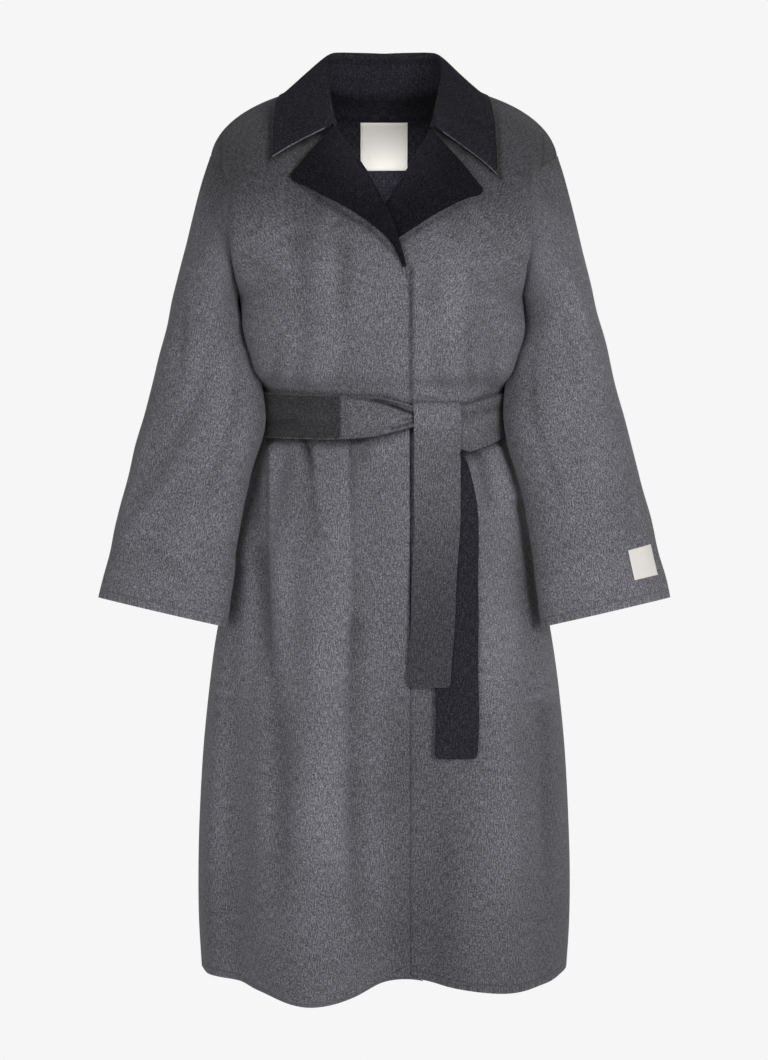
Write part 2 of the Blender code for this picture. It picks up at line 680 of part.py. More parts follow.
# ---------------------------------------------------------------- belt
def around(degrees, z):
    """Point of the body form and its outward direction, by degrees around from the centre front."""
    degrees = np.atleast_1d(np.asarray(degrees, float))
    z = np.atleast_1d(np.asarray(z, float)) + 0 * degrees
    d = np.where(degrees < -270, degrees + 360, degrees)
    ahead = np.clip(d / 90, -1, 1)
    behind = np.clip(-(d + 180) / 90, -1, 1)
    pick = (d < -90)[:, None]
    points = np.where(pick, body(BACK, behind, z), body(FRONT, ahead, z))
    return points, np.where(pick, body_out(BACK, behind, z), body_out(FRONT, ahead, z))


def belt_wall(name, rows, degrees):
    edges = table(rows, degrees)
    grid, outs = [], []
    for s in (0, 0.35, 0.7, 1):
        point, out = around(degrees, edges[:, 1] + (edges[:, 0] - edges[:, 1]) * s)
        level = unit(out * [1, 1, 0])
        grid.append(point + level * (BELT_AIR + BELT_CLOTH))
        outs.append(level)
    wall(name, np.array(grid), "coat_cloth", BELT_CLOTH, normals=np.array(outs), seams=("first", "last"))


def build_tail(name, rows, lift, levels, columns=5, fold=()):
    """A hanging end of the belt; fold lists the rows over its top: height and way back from its face."""
    path = [(z, lift) for z in levels]
    for z, back in fold:
        path.insert(0, (z, lift - back))
    grid = []
    for z, away in path:
        left, right = table(sorted(rows), z)[0]
        x = np.linspace(left, right, columns)
        grid.append(on_front(x, np.full(columns, float(z)), away, -1))
    material = "coat_cloth" if fold else "reverse_cloth"
    wall(name, np.array(grid), material, BELT_CLOTH, out=np.array([0, -1, 0]))


def build_belt():
    behind = np.linspace(-259, -101, 15)
    degrees = np.concatenate([np.linspace(-319, -270, 8), behind, np.linspace(-90, 14, 14)])
    belt_wall("belt_band", BELT_BAND, degrees)
    belt_wall("belt_knot", KNOT, np.linspace(14, 41, 6))
    over = BELT_AIR + 2 * BELT_CLOTH + TAIL_AIR
    levels = (-438, -455, -475, -500, -530, -565, -610, -660, -710, -755, -784)
    fold = ((-434, 0.5), (-431.4, 1.9), (-430.2, 4.0))
    build_tail("belt_tail_front", TAIL_FRONT, over, levels, fold=fold)
    levels = (-498, -515, -535, -560, -600, -650, -700, -750, -800, -840, -874)
    build_tail("belt_tail_back", TAIL_BACK, BELT_CLOTH + TAIL_AIR, levels)


# ---------------------------------------------------------------- labels
def build_labels():
    size = LABEL_NECK
    lift = CLOTH + LABEL_AIR + LABEL_CLOTH
    x = np.linspace(-size["half_width"], size["half_width"], 5)
    grid, outs = [], []
    for z in np.linspace(size["bottom"], size["top"], 6):
        across, level = place(BACK, x, 0 * x + z)
        out = body_out(BACK, across, level)
        grid.append(body(BACK, across, level) - out * lift)
        outs.append(-out)
    wall("neck_label", np.array(grid), "label_cloth", LABEL_CLOTH, normals=np.array(outs))
    size = LABEL_SLEEVE
    turns = np.linspace(size["turn"][0], size["turn"][1], 5)
    grid = np.array([sleeve_ring(1, turns, 0 * turns + s) for s in np.linspace(*size["along"], 5)])
    out = grid_normals(grid)
    if out[2, 2, 1] > 0:
        out = -out
    grid = grid + out * (LABEL_AIR / 2 + LABEL_CLOTH)
    wall("sleeve_label", grid, "label_cloth", LABEL_CLOTH, normals=out)


for thing in list(bpy.data.objects):
    bpy.data.objects.remove(thing, do_unlink=True)
MATERIALS = make_materials()
TORSO = build_coat()
build_collar(TORSO)
build_lapel("lapel_right", -1, LAPEL_RIGHT)
build_lapel("lapel_left", 1, LAPEL_LEFT)
build_belt()
build_labels()
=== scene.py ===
import math

import bmesh
import bpy
import mathutils
import numpy as np
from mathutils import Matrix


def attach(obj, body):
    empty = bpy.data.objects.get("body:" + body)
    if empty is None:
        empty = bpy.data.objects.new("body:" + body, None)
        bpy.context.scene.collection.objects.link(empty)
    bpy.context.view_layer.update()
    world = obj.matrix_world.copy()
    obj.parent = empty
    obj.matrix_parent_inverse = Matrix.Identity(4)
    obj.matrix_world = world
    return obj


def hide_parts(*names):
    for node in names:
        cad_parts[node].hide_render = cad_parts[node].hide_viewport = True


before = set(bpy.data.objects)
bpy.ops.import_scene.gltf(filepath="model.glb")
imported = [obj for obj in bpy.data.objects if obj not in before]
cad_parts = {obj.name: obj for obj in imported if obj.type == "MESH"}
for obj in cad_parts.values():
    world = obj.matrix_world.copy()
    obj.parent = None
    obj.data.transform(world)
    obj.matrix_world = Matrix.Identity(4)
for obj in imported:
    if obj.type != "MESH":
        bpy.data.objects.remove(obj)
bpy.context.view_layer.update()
mm = 0.001
front, back = -1, 1
clothWall = 2.5  # doubled wool
seamGap = 0.3
weldReach = 0.03


# curves and blends, all in millimetres

def smoothRows(knots, values, at):
    knots = np.asarray(knots, float)
    values = np.asarray(values, float).reshape(len(knots), -1)
    at = np.clip(np.atleast_1d(np.asarray(at, float)), knots[0], knots[-1])
    slope = np.gradient(values, knots, axis=0)
    low = np.clip(np.searchsorted(knots, at, side="right") - 1, 0, len(knots) - 2)
    span = (knots[low + 1] - knots[low])[:, None]
    s = (at - knots[low])[:, None] / span
    start = values[low] * (2 * s**3 - 3 * s**2 + 1) + slope[low] * span * (s**3 - 2 * s**2 + s)
    return start + values[low + 1] * (3 * s**2 - 2 * s**3) + slope[low + 1] * span * (s**3 - s**2)


def table(rows, at):
    return smoothRows([r[0] for r in rows], [r[1:] for r in rows], at)


def ease(low, high, at):
    s = np.clip((np.asarray(at, float) - low) / (high - low), 0, 1)
    return s * s * (3 - 2 * s)


def bezier(a, b, c, d, s):
    s = np.asarray(s, float)[:, None]
    return a * (1 - s) ** 3 + b * 3 * s * (1 - s) ** 2 + c * 3 * s * s * (1 - s) + d * s**3


def unit(v):
    return v / np.maximum(np.linalg.norm(v, axis=-1, keepdims=True), 1e-9)


# more levels between the given ones, about step apart
def refine(levels, step):
    made = [levels[0]]
    for a, b in zip(levels, levels[1:]):
        n = max(1, round(abs(b - a) / step))
        made += [a + (b - a) * k / n for k in range(1, n + 1)]
    return np.array(made, float)


# the coat's form, as the frame has it

form = {
    "underarm": -300.0,
    "topLine": -50.0,
    "hem": -1180.0,
    "round": 0.552,
    "corner": 0.20,
    # level, half width, reach of the corners, depth to front and to back
    "trunk": [
        (-1180, 241, 241, 160, 166),
        (-1120, 244, 244, 161, 166),
        (-1000, 243, 243, 160, 164),
        (-880, 236, 236, 158, 160),
        (-760, 222, 222, 152, 152),
        (-660, 204, 204, 145, 144),
        (-580, 188, 188, 135, 132),
        (-520, 173, 173, 121, 115),
        (-480, 160, 160, 107, 101),
        (-448, 156, 156, 104, 98),
        (-430, 156, 156, 104, 98),
        (-414, 158.5, 160, 106, 100),
        (-398, 152, 199, 119, 109),
        (-370, 160, 213, 127, 117),
        (-335, 171, 218, 132, 124),
        (-300, 184, 198, 135, 128),
    ],
    # level, armhole point, pull beside it, reach of the flat middle, depth and height on the centre line
    "chestFront": [
        (-275, (-184, -30, -294), (-195, -98, -285), -100, (-134, -268)),
        (-245, (-186, -56, -270), (-212, -112, -255), -98, (-131, -232)),
        (-215, (-188, -74, -235), (-222, -121, -212), -95, (-124, -196)),
        (-185, (-189, -76, -199), (-226, -117, -175), -92, (-114, -160)),
        (-155, (-191, -68, -170), (-222, -103, -138), -90, (-102, -128)),
        (-125, (-199, -48, -147), (-218, -77, -104), -88, (-86, -98)),
        (-90, (-213, -25, -129), (-215, -44, -76), -88, (-58, -66)),
        (-50, (-222, 0, -118), (-210, 4, -56), -110, (14, -22)),
    ],
    "chestBack": [
        (-275, (-185, 30, -294), (-192, 95, -285), -100, (127, -262)),
        (-245, (-188, 58, -270), (-205, 110, -255), -95, (124, -222)),
        (-215, (-192, 78, -235), (-212, 118, -212), -90, (118, -180)),
        (-185, (-196, 80, -197), (-215, 112, -172), -90, (108, -140)),
        (-155, (-200, 72, -170), (-212, 100, -140), -88, (95, -104)),
        (-125, (-207, 52, -147), (-212, 78, -106), -85, (80, -72)),
        (-90, (-215, 27, -130), (-214, 46, -80), -85, (62, -43)),
        (-50, (-222, 0, -118), (-210, 4, -56), -110, (14, -22)),
    ],
    # level, how much less wide the wearer's left half is
    "leftSlimmer": [(-1180, 0), (-520, 0), (-440, 0), (-400, 1.0), (-345, 1.5), (-300, 7), (-200, 9), (-125, 9),
                    (-50, 0)],
    # face, place across at the top and at the hem, first and last level, height at both, width
    "folds": [
        (front, -0.20, -0.25, -480, -1180, 5, 36, 0.15),
        (front, -0.07, -0.02, -480, -1180, -5, -20, 0.10),
        (front, 0.12, 0.14, -520, -1180, -2, -22, 0.16),
        (front, 0.42, 0.40, -500, -1180, 3, 26, 0.17),
        (front, 0.72, 0.66, -500, -1180, 4, 6, 0.12),
        (front, -0.42, -0.45, -480, -1180, 5, 3, 0.08),
        (front, -0.56, -0.58, -480, -1180, -4, -7, 0.09),
        (front, -0.76, -0.74, -480, -1180, 3, 7, 0.10),
        (back, -0.62, -0.55, -480, -1180, 4, 16, 0.13),
        (back, -0.30, -0.28, -480, -1180, -4, -12, 0.13),
        (back, 0.02, 0.03, -480, -1180, 5, 17, 0.14),
        (back, 0.36, 0.33, -480, -1180, -4, -13, 0.13),
        (back, 0.60, 0.60, -480, -1180, 4, 15, 0.12),
        (front, -0.30, -0.28, -412, -290, 4, 0, 0.10),
        (front, 0.52, 0.55, -412, -290, -4, 0, 0.10),
        (front, 0.30, 0.36, -412, -290, 4, 0, 0.10),
        (back, -0.34, -0.42, -412, -290, 4, 0, 0.12),
        (back, 0.36, 0.44, -412, -290, 4, 0, 0.12),
    ],
    "hemRise": {
        front: [(-1, 4), (-0.85, 6), (-0.7, 8.5), (-0.5, 7.5), (-0.35, 3.5), (-0.18, -2), (-0.1, 3.5),
                (0.0, 17), (0.1, 20.5), (0.22, 12.5), (0.35, 7.5), (0.6, 4.2), (0.8, 4.5), (1, 2.5)],
        back: [(-1, 4), (0, 6), (1, 2.5)],
    },
    "hemRiseFrom": -940.0,
    "cornerReach": 50,  # how far a corner stands out before it pulls with its full share
    "foldStart": 0.04,
    "foldEnd": 0.9,
    "foldGrowth": 1.2,
    "depthLean": 1.6,
}


def levelNet(face):
    rows = []
    for z, half, corner, toFront, toBack in form["trunk"]:
        y = face * (toFront if face == front else toBack)
        pull = form["round"] + form["corner"] * min(1, (corner - half) / form["cornerReach"])
        rows.append((z, (-half, 0, z, -corner, pull * y, z, -form["round"] * half, y, z, 0, y, z)))
    for level, arm, pull, reach, (y, z) in form["chestFront" if face == front else "chestBack"]:
        rows.append((level, arm + pull + (reach, y, z) + (0, y, z)))
    return [r[0] for r in rows], [r[1] for r in rows]


nets = {front: levelNet(front), back: levelNet(back)}


# points of the form; across runs from -1 at the wearer's right side seam to 1 at the left one
def body(face, across, level):
    across = np.atleast_1d(np.asarray(across, float))
    level = np.atleast_1d(np.asarray(level, float)) + 0 * across
    across = across + 0 * level
    net = smoothRows(*nets[face], level)
    point = bezier(net[:, 0:3], net[:, 3:6], net[:, 6:9], net[:, 9:12], 1 - np.abs(across))
    slim = table(form["leftSlimmer"], level)[:, 0]
    left = across > 0
    point[left, 0] = -point[left, 0] - (slim * ease(0, 0.6, across))[left]
    out = unit(np.stack([point[:, 0], point[:, 1] * form["depthLean"], 0 * level], 1))
    for side, pTop, pEnd, first, last, hTop, hEnd, width in form["folds"]:
        if side != face:
            continue
        s = np.clip((level - first) / (last - first), 0, 1)
        inside = ease(0, form["foldStart"], (level - first) / (last - first))
        if last > first:
            inside = inside * (1 - ease(form["foldEnd"], 1, s))
        middle = pTop + (pEnd - pTop) * s
        height = hTop + (hEnd - hTop) * s ** form["foldGrowth"]
        shape = np.exp(-(((across - middle) / width) ** 2))
        point = point + out * (height * inside * shape * (1 - np.abs(across) ** 6))[:, None]
    point[:, 2] += table(form["hemRise"][face], across)[:, 0] * ease(form["hemRiseFrom"], form["hem"], level)
    return point


def bodyOut(face, across, level):
    step = 0.004
    a = np.clip(across, -1 + step, 1 - step)
    h = np.clip(level, form["hem"] + 1, form["topLine"] - 1)
    du = body(face, a + step, h) - body(face, a - step, h)
    dv = body(face, a, h + 1) - body(face, a, h - 1)
    return unit(np.cross(du, dv) * -face)


search = {"rounds": 16, "acrossStep": 0.002, "levelStep": 0.5, "mostAcross": 0.08, "mostLevel": 15,
          "halfWidth": 230.0}


# finds across and level where the form has this x and z
def place(face, x, z):
    x = np.atleast_1d(np.asarray(x, float))
    z = np.atleast_1d(np.asarray(z, float))
    across = np.clip(x / search["halfWidth"], -0.9, 0.9)
    level = np.clip(z - 20 * (z > form["underarm"]), form["hem"], form["topLine"] - 1)
    for _ in range(search["rounds"]):
        now = body(face, across, level)
        right = (body(face, across + search["acrossStep"], level) - now) / search["acrossStep"]
        above = (body(face, across, level - search["levelStep"]) - now) / -search["levelStep"]
        missX, missZ = x - now[:, 0], z - now[:, 2]
        det = right[:, 0] * above[:, 2] - right[:, 2] * above[:, 0]
        det = np.where(np.abs(det) < 1e-6, 1e-6, det)
        acrossMove = (missX * above[:, 2] - missZ * above[:, 0]) / det
        levelMove = (right[:, 0] * missZ - right[:, 2] * missX) / det
        across = across + np.clip(acrossMove, -search["mostAcross"], search["mostAcross"])
        level = level + np.clip(levelMove, -search["mostLevel"], search["mostLevel"])
        across = np.clip(across, -1, 1)
        level = np.clip(level, form["hem"], form["topLine"])
    return across, level


# the left front lies under the right one: depth, where that fades across, and between which levels
lapped = {
    "overlap": (3.8, 62, 95),
    "skirt": (6, -10, 25, -560, -900),
    "crossing": (5.2, 14, 50, -302, -268),
    "collarLevels": (-170, -120),
}


# how far the wearer's left front sits under the other one
def under(point, level):
    x = point[:, 0]
    depth, start, end = lapped["overlap"]
    lap = depth * (1 - ease(start, end, x))
    depth, start, end, low, high = lapped["skirt"]
    lap = lap + depth * (1 - ease(start, end, x)) * ease(low, high, level)
    depth, start, end, low, high = lapped["crossing"]
    deep = depth * (1 - ease(start, end, x)) * ease(low, high, level)
    return (lap + deep) * (1 - ease(*lapped["collarLevels"], level))


# creases, given one by one: from x, z to x, z, bow sideways, width to the left and right, height
# a short width on one side makes the sharp edge of a fold

creases = {
    "frontRight": [
        (-143, -484, -139, -800, 0, 5, 26, 5),
        (-166, -486, -168, -660, 0, 16, 11, -5.5),
        (-88, -486, -76, -600, 0, 5, 24, 4),
        (-97, -484, -90, -525, 0, 9, 6, -4.5),
        (-42, -484, -45, -800, 0, 24, 4.5, 6),
        (-28, -484, -24, -505, 0, 8, 12, -3.5),
        (-160, -620, -124, -1090, 6, 14, 16, -5.5),
        (-37, -700, -28, -1170, -3, 12, 18, -5.5),
        (-84, -620, -74, -1150, 0, 24, 24, 2.4),
        (-192, -640, -198, -1130, 0, 14, 16, -4),
        (-108, -412, -96, -300, 3, 12, 14, -3),
        (-60, -412, -44, -330, 3, 10, 16, -2.2),
        (-140, -406, -134, -335, 0, 10, 14, -2.5),
        (-178, -250, -120, -302, -6, 14, 14, -2.5),
        (-75, -195, -70, -345, 0, 15, 13, 4.0),
        (-48, -235, -54, -340, 0, 12, 12, -3.2),
        (-108, -225, -100, -330, 0, 12, 13, -3.2),
        (-150, -205, -112, -216, 5, 14, 20, 2),
    ],
    "frontLeft": [
        (143, -486, 182, -640, 5, 20, 5, 5.5),
        (176, -560, 198, -780, -4, 14, 14, -5.5),
        (126, -492, 138, -570, 0, 10, 8, -5),
        (150, -700, 160, -1120, 0, 24, 24, 3),
        (207, -820, 215, -1140, 0, 12, 16, -4),
        (98, -560, 104, -900, 0, 12, 16, -3),
        (109, -416, 106, -320, 0, 3.5, 12, -2.4),
        (134, -412, 146, -350, 0, 12, 10, -2.6),
        (70, -412, 64, -345, 0, 14, 12, -2),
        (178, -250, 118, -298, 6, 14, 14, -2.5),
        (84, -340, 90, -225, 0, 16, 16, 3.2),
        (54, -330, 60, -250, 0, 12, 12, -1.8),
    ],
    "back": [
        (-118, -482, -122, -760, 0, 5, 24, 4.5),
        (-60, -480, -52, -560, 0, 9, 6, -4.5),
        (-30, -482, -36, -840, 0, 24, 5, 4.5),
        (24, -480, 22, -545, 0, 7, 9, -4.5),
        (62, -482, 70, -800, 0, 5, 26, 4.5),
        (118, -480, 124, -575, 0, 9, 7, -4),
        (150, -482, 158, -700, 0, 22, 5, 4),
        (-180, -560, -190, -1080, 0, 16, 16, -4),
        (184, -600, 196, -1100, 0, 16, 16, -4),
        (-90, -760, -84, -1150, 4, 18, 18, -3.5),
        (8, -820, 4, -1150, 0, 20, 20, -3.5),
        (104, -760, 112, -1150, -4, 18, 18, -3.5),
        (-90, -416, -74, -320, 3, 12, 12, -4),
        (-36, -416, -30, -335, 0, 8, 16, -3),
        (30, -416, 26, -322, 0, 16, 8, -3),
        (92, -416, 78, -326, -3, 12, 12, -4),
        (-172, -235, -96, -290, -8, 16, 18, -3),
        (172, -235, 96, -290, 8, 16, 18, -3),
        (-128, -150, -60, -176, 4, 16, 22, 2),
        (128, -150, 60, -176, -4, 16, 22, 2),
    ],
}
# x, then the belt's lower and upper edge; the cloth is drawn in beside them
beltLine = [(-156, -477, -420), (-100, -477, -420.5), (-48, -476, -421.5), (-5, -471, -424),
            (22, -464, -430), (38, -461, -434), (53, -470, -435), (78, -484, -435), (102, -493, -434),
            (129, -485, -426), (151, -477, -421.5), (156, -477, -420)]
beltLineBack = [(-160, -477, -420), (160, -477, -420)]
# distances from the belt's edges in mm, and the depth of the groove that the belt presses
beltPress = {"flat": 2, "free": 12, "groove": 3.6, "below": 5, "above": 4, "width": 6, "aboveShare": 0.5}
creaseEnds = {"start": (-0.05, 0.02), "panel": 0.24, "belt": 0.02, "reach": 2.4, "end": 1.12}
slowWaves = ((150, 0.8), (92, 0.55), (57, 0.3), (34, 0.14))  # length and height of each
waveSlant = 0.45
waveSeeds = {"back": 5, "frontRight": 2, "frontLeft": 2, "sleeveRight": 7, "sleeveLeft": 11, "collar": 3,
             "belt": 4}
ownCreases = (32, 60)  # x: the lap of the left front takes over the right one's creases up to here


def creaseHeight(rows, x, z, endShare=creaseEnds["panel"]):
    height = 0 * x
    for x0, z0, x1, z1, bow, leftWidth, rightWidth, rise in rows:
        dx, dz = x1 - x0, z1 - z0
        length = math.hypot(dx, dz)
        along = ((x - x0) * dx + (z - z0) * dz) / length**2
        s = np.clip(along, 0, 1)
        off = ((x - x0) * dz - (z - z0) * dx) / length
        sideways = off * np.sign(dz if abs(dz) > abs(dx) else dx) - bow * np.sin(math.pi * s)
        width = np.where(sideways < 0, leftWidth, rightWidth)
        fade = ease(*creaseEnds["start"], along)
        fade = fade * (1 - ease(1 - endShare * creaseEnds["reach"], creaseEnds["end"], along))
        height = height + rise * fade * np.exp(-((sideways / width) ** 2))
    return height


# slow uneven waves, about a millimetre high
def ripple(a, b, seed):
    wave = 0 * a
    for k, (length, height) in enumerate(slowWaves):
        turn = seed * 1.7 + k * 2.1
        way = a * math.cos(turn) + b * math.sin(turn)
        wave = wave + height * np.sin(way * 2 * math.pi / length + seed * (k + 1))
    return wave


def beltEdges(name, x):
    edges = table(beltLineBack if name == "back" else beltLine, np.ravel(x))
    return edges[:, 0].reshape(np.shape(x)), edges[:, 1].reshape(np.shape(x))


def atBelt(name, x, z, height):
    low, high = beltEdges(name, x)
    flat, free, width = beltPress["flat"], beltPress["free"], beltPress["width"]
    pressed = ease(low - free, low - flat, z) * (1 - ease(high + flat, high + free, z))
    groove = np.exp(-(((z - low + beltPress["below"]) / width) ** 2))
    groove = groove + beltPress["aboveShare"] * np.exp(-(((z - high - beltPress["above"]) / width) ** 2))
    return height * (1 - pressed) - beltPress["groove"] * groove


# height of the creases and waves of a panel; the hidden lap of the left front follows the right one
def panelHeight(name, x, z):
    height = creaseHeight(creases[name], x, z)
    if name == "frontLeft":
        own = ease(*ownCreases, x)
        height = creaseHeight(creases["frontRight"], x, z) * (1 - own) + height * own
    height = height + ripple(x, z * waveSlant, waveSeeds[name])
    return atBelt(name, x, z, height)


# less light reaches the hollows of folds and the cloth beside an edge that lies on it

shading = {
    # blur in rows and in columns, strength
    "panel": (2.0, 4.0, 0.088),
    "sleeve": (2.5, 3.0, 0.06),
    "belt": (3.0, 3.0, 0.26),
    "wider": (3, 3.5),  # a second blur this many times as wide
    "least": 0.3,
    "most": 1.13,
    # strength, distance from the belt's edge, width
    "underBelt": (0.72, 1, 3.8),
    "overBelt": (0.5, 1, 3.0),
    # painted light on the cloth beside the sleeves: strength, from x, to x; then the levels it fades in and out
    # at
    "besideRight": (0.15, -90, -150),
    "besideLeft": (0.10, 110, 160),
    "besideLevels": (-480, -520, -860, -760),
}
# x, z to x, z, width, strength at both ends
edgeShadows = {
    "frontRight": [
        (-62, -85, -76, -92, 8.5, 0.92, 0.92), (-76, -92, -100, -104, 7.5, 0.92, 0.6),
        (-100, -104, -142, -128, 4.5, 0.75, 0.45),
        (-142, -128, -143, -62, 3.5, 0.4, 0.3), (-206, -152, -208, -92, 1.8, 0.3, 0.4),
        (-118, -150, -80, -177, 4.0, 0.35, 0.5), (-80, -177, -18, -214, 4.0, 0.5, 0.6),
        (-18, -214, 16, -246, 3.5, 0.6, 0.55), (16, -246, 29, -276, 3.0, 0.55, 0.3),
        (-101, -478, -93, -506, 5.5, 0.85, 0.0), (-32, -477, -16, -478, 6.0, 0.75, 0.2),
        (-39, -478, -41, -660, 3.2, 0.4, 0.0), (-42.5, -478, -43, -600, 1.9, 0.5, 0.0),
        (-147, -482, -144, -640, 3.6, 0.45, 0.0), (31.4, -270, 31.8, -420, 1.7, 0.6, 0.3),
    ],
    "frontLeft": [
        (62, -88, 76, -96, 8.5, 0.92, 0.92), (76, -96, 100, -114, 7.5, 0.92, 0.6),
        (100, -114, 144, -151, 4.5, 0.75, 0.45), (34, -262, 35, -420, 2.6, 0.6, 0.35),
        (144, -148, 143, -66, 3.5, 0.4, 0.3), (200, -152, 203, -92, 1.8, 0.3, 0.4),
        (6, -240, 42, -216, 3.5, 0.5, 0.45), (42, -216, 92, -187, 3.5, 0.45, 0.35),
        (92, -187, 124, -176, 3.5, 0.35, 0.2),
        (100, -492, 104, -512, 5.0, 0.8, 0.0), (112, -488, 128, -512, 5.0, 0.6, 0.0),
        (148, -486, 186, -640, 3.4, 0.45, 0.0),
    ],
    "belt": [
        (-50, -423.8, -14, -427.8, 1.3, 0.3, 0.6), (-14, -427.8, 11, -434, 1.5, 0.6, 0.75),
        (11, -434, 38, -444, 1.8, 0.75, 0.9), (-25, -423.5, 4, -428.5, 1.0, 0.3, 0.5),
        (4, -428.5, 37, -437, 1.0, 0.5, 0.6), (22, -452, 38, -449.5, 1.2, 0.4, 0.75),
        (24, -458.5, 38, -454.5, 1.2, 0.3, 0.6), (95.5, -434, 95.5, -492, 2.4, 0.6, 0.6),
    ],
    "back": [
        (-142, -60, -117, -55, 3.5, 0.35, 0.35), (-117, -55, -72, -65, 3.5, 0.35, 0.35),
        (-72, -65, 0, -69, 3.5, 0.35, 0.35), (0, -69, 72, -65, 3.5, 0.35, 0.35),
        (72, -65, 117, -55, 3.5, 0.35, 0.35), (117, -55, 142, -60, 3.5, 0.35, 0.35),
    ],
}


def blurred(values, sigma, axis):
    reach = int(3 * sigma) + 1
    kernel = np.exp(-((np.arange(-reach, reach + 1) / sigma) ** 2) / 2)
    kernel /= kernel.sum()
    padded = np.pad(values, [(reach, reach) if k == axis else (0, 0) for k in (0, 1)], mode="edge")
    return np.apply_along_axis(lambda line: np.convolve(line, kernel, mode="valid"), axis, padded)


def hollowShade(height, kind):
    rows, columns, strength = shading[kind]
    near = blurred(blurred(height, rows, 0), columns, 1)
    wide = blurred(blurred(height, shading["wider"][0] * rows, 0), shading["wider"][1] * columns, 1)
    hollow = (near + wide) / 2 - height
    return np.clip(1 - strength * hollow, shading["least"], shading["most"])


def lineShade(name, x, z):
    shade = 1.0 + 0 * x
    for x0, z0, x1, z1, width, first, last in edgeShadows[name]:
        dx, dz = x1 - x0, z1 - z0
        s = np.clip(((x - x0) * dx + (z - z0) * dz) / (dx * dx + dz * dz), 0, 1)
        away = np.hypot(x - x0 - s * dx, z - z0 - s * dz)
        shade = shade * (1 - (first + (last - first) * s) * np.exp(-((away / width) ** 2)))
    return shade


def edgeShade(name, x, z):
    low, high = beltEdges(name, x)
    strength, away, width = shading["underBelt"]
    shade = lineShade(name, x, z) * (1 - strength * np.exp(-(((z - low + away) / width) ** 2)))
    (right, *rightReach), (left, *leftReach) = shading["besideRight"], shading["besideLeft"]
    levels = shading["besideLevels"]
    beside = right * ease(*rightReach, x) + left * ease(*leftReach, x)
    beside = beside * ease(*levels[:2], z) * ease(*levels[2:], z)
    strength, away, width = shading["overBelt"]
    return shade * (1 - strength * np.exp(-(((z - high - away) / width) ** 2))) * (1 + beside)


# building a wall of cloth from one bent grid

# adds a grid to bm and bends it to points (rows x columns x 3); spots keeps each point's number
def bendGrid(bm, spots, points, uv):
    rows, columns = points.shape[:2]
    start = len(spots["outer"])
    made = bmesh.ops.create_grid(bm, x_segments=columns - 1, y_segments=rows - 1, size=0.5)["verts"]
    number = bm.verts.layers.int["spot"]
    for v in made:
        i = round((v.co.y + 0.5) * (rows - 1))
        j = round((v.co.x + 0.5) * (columns - 1))
        v[number] = start + i * columns + j
        v.co = points[i, j] * mm
    spots["outer"] += [tuple(p) for p in points.reshape(-1, 3)]
    spots["uv"] += [tuple(p) for p in uv.reshape(-1, 2)]


# millimetres across from the edge and up from the hem, for the grain and the stitched lines
def clothLengths(points, fromLast=False):
    across = np.linalg.norm(np.diff(points, axis=1), axis=2)
    up = np.linalg.norm(np.diff(points, axis=0), axis=2)
    u = np.concatenate([np.zeros((len(points), 1)), np.cumsum(across, axis=1)], axis=1)
    v = np.concatenate([np.zeros((1, points.shape[1])), np.cumsum(up, axis=0)], axis=0)
    if fromLast:
        u = u[:, -1:] - u
    return np.stack([u, v], axis=-1)


# grids is a list of (points, outward directions, lengths, shade). The wall lies inside the points.
# sewn has the numbers of the points on seams, whose rims take another material than the free edges
def clothPiece(name, grids, wall, materials, rim=0.85, segments=2, sewn=(), sewnMaterial=1):
    bm = bmesh.new()
    number = bm.verts.layers.int.new("spot")
    uvLayer = bm.loops.layers.uv.new("clothMap")
    shadeLayer = bm.verts.layers.float.new("foldShade")
    spots = {"outer": [], "uv": []}
    inward, shades = [], []
    for points, out, uv, shade in grids:
        bendGrid(bm, spots, points, uv)
        shades += np.ravel(shade + 0 * points[..., 0]).tolist()
        inward += [tuple(p) for p in (points - out * wall).reshape(-1, 3)]
    for face in bm.faces:
        face.smooth = True
        for loop in face.loops:
            loop[uvLayer].uv = [c * mm for c in spots["uv"][loop.vert[number]]]
    bmesh.ops.remove_doubles(bm, verts=bm.verts, dist=weldReach * mm)
    outerFaces = set(bm.faces)
    made = bmesh.ops.extrude_face_region(bm, geom=list(bm.faces), use_keep_orig=True)["geom"]
    innerVerts = [g for g in made if isinstance(g, bmesh.types.BMVert)]
    innerFaces = {g for g in made if isinstance(g, bmesh.types.BMFace)}
    for v in innerVerts:
        v.co = [c * mm for c in inward[v[number]]]
    for face in bm.faces:
        face.material_index = 0 if face in outerFaces else 1 if face in innerFaces else 2
    rimEdges = [e for e in bm.edges if sum(f.material_index == 2 for f in e.link_faces) == 1]
    sewn = set(sewn)
    for face in bm.faces:
        if face.material_index == 2 and all(v[number] in sewn for v in face.verts):
            face.material_index = sewnMaterial
    bmesh.ops.recalc_face_normals(bm, faces=bm.faces)
    bmesh.ops.bevel(bm, geom=rimEdges, offset=rim * mm, offset_type="OFFSET", segments=segments,
                    profile=0.5, affect="EDGES", clamp_overlap=True, material=-1)
    for v in bm.verts:
        v[shadeLayer] = shades[v[number]]
    for face in bm.faces:
        face.smooth = True
    mesh = bpy.data.meshes.new(name)
    bm.to_mesh(mesh)
    bm.free()
    piece = bpy.data.objects.new(name, mesh)
    bpy.context.collection.objects.link(piece)
    for material in materials:
        mesh.materials.append(material)
    print("made", name, len(mesh.vertices), "points")
    return piece


# numbers of the points on the named sides of a grid; the last column counts from row lastFrom up
def seamSpots(shape, sides, start=0, lastFrom=0):
    rows, columns = shape[:2]
    number = np.arange(rows * columns).reshape(rows, columns) + start
    runs = {"first": number[:, 0], "last": number[lastFrom:, -1], "bottom": number[0], "top": number[-1]}
    return np.concatenate([runs[side] for side in sides]).tolist()


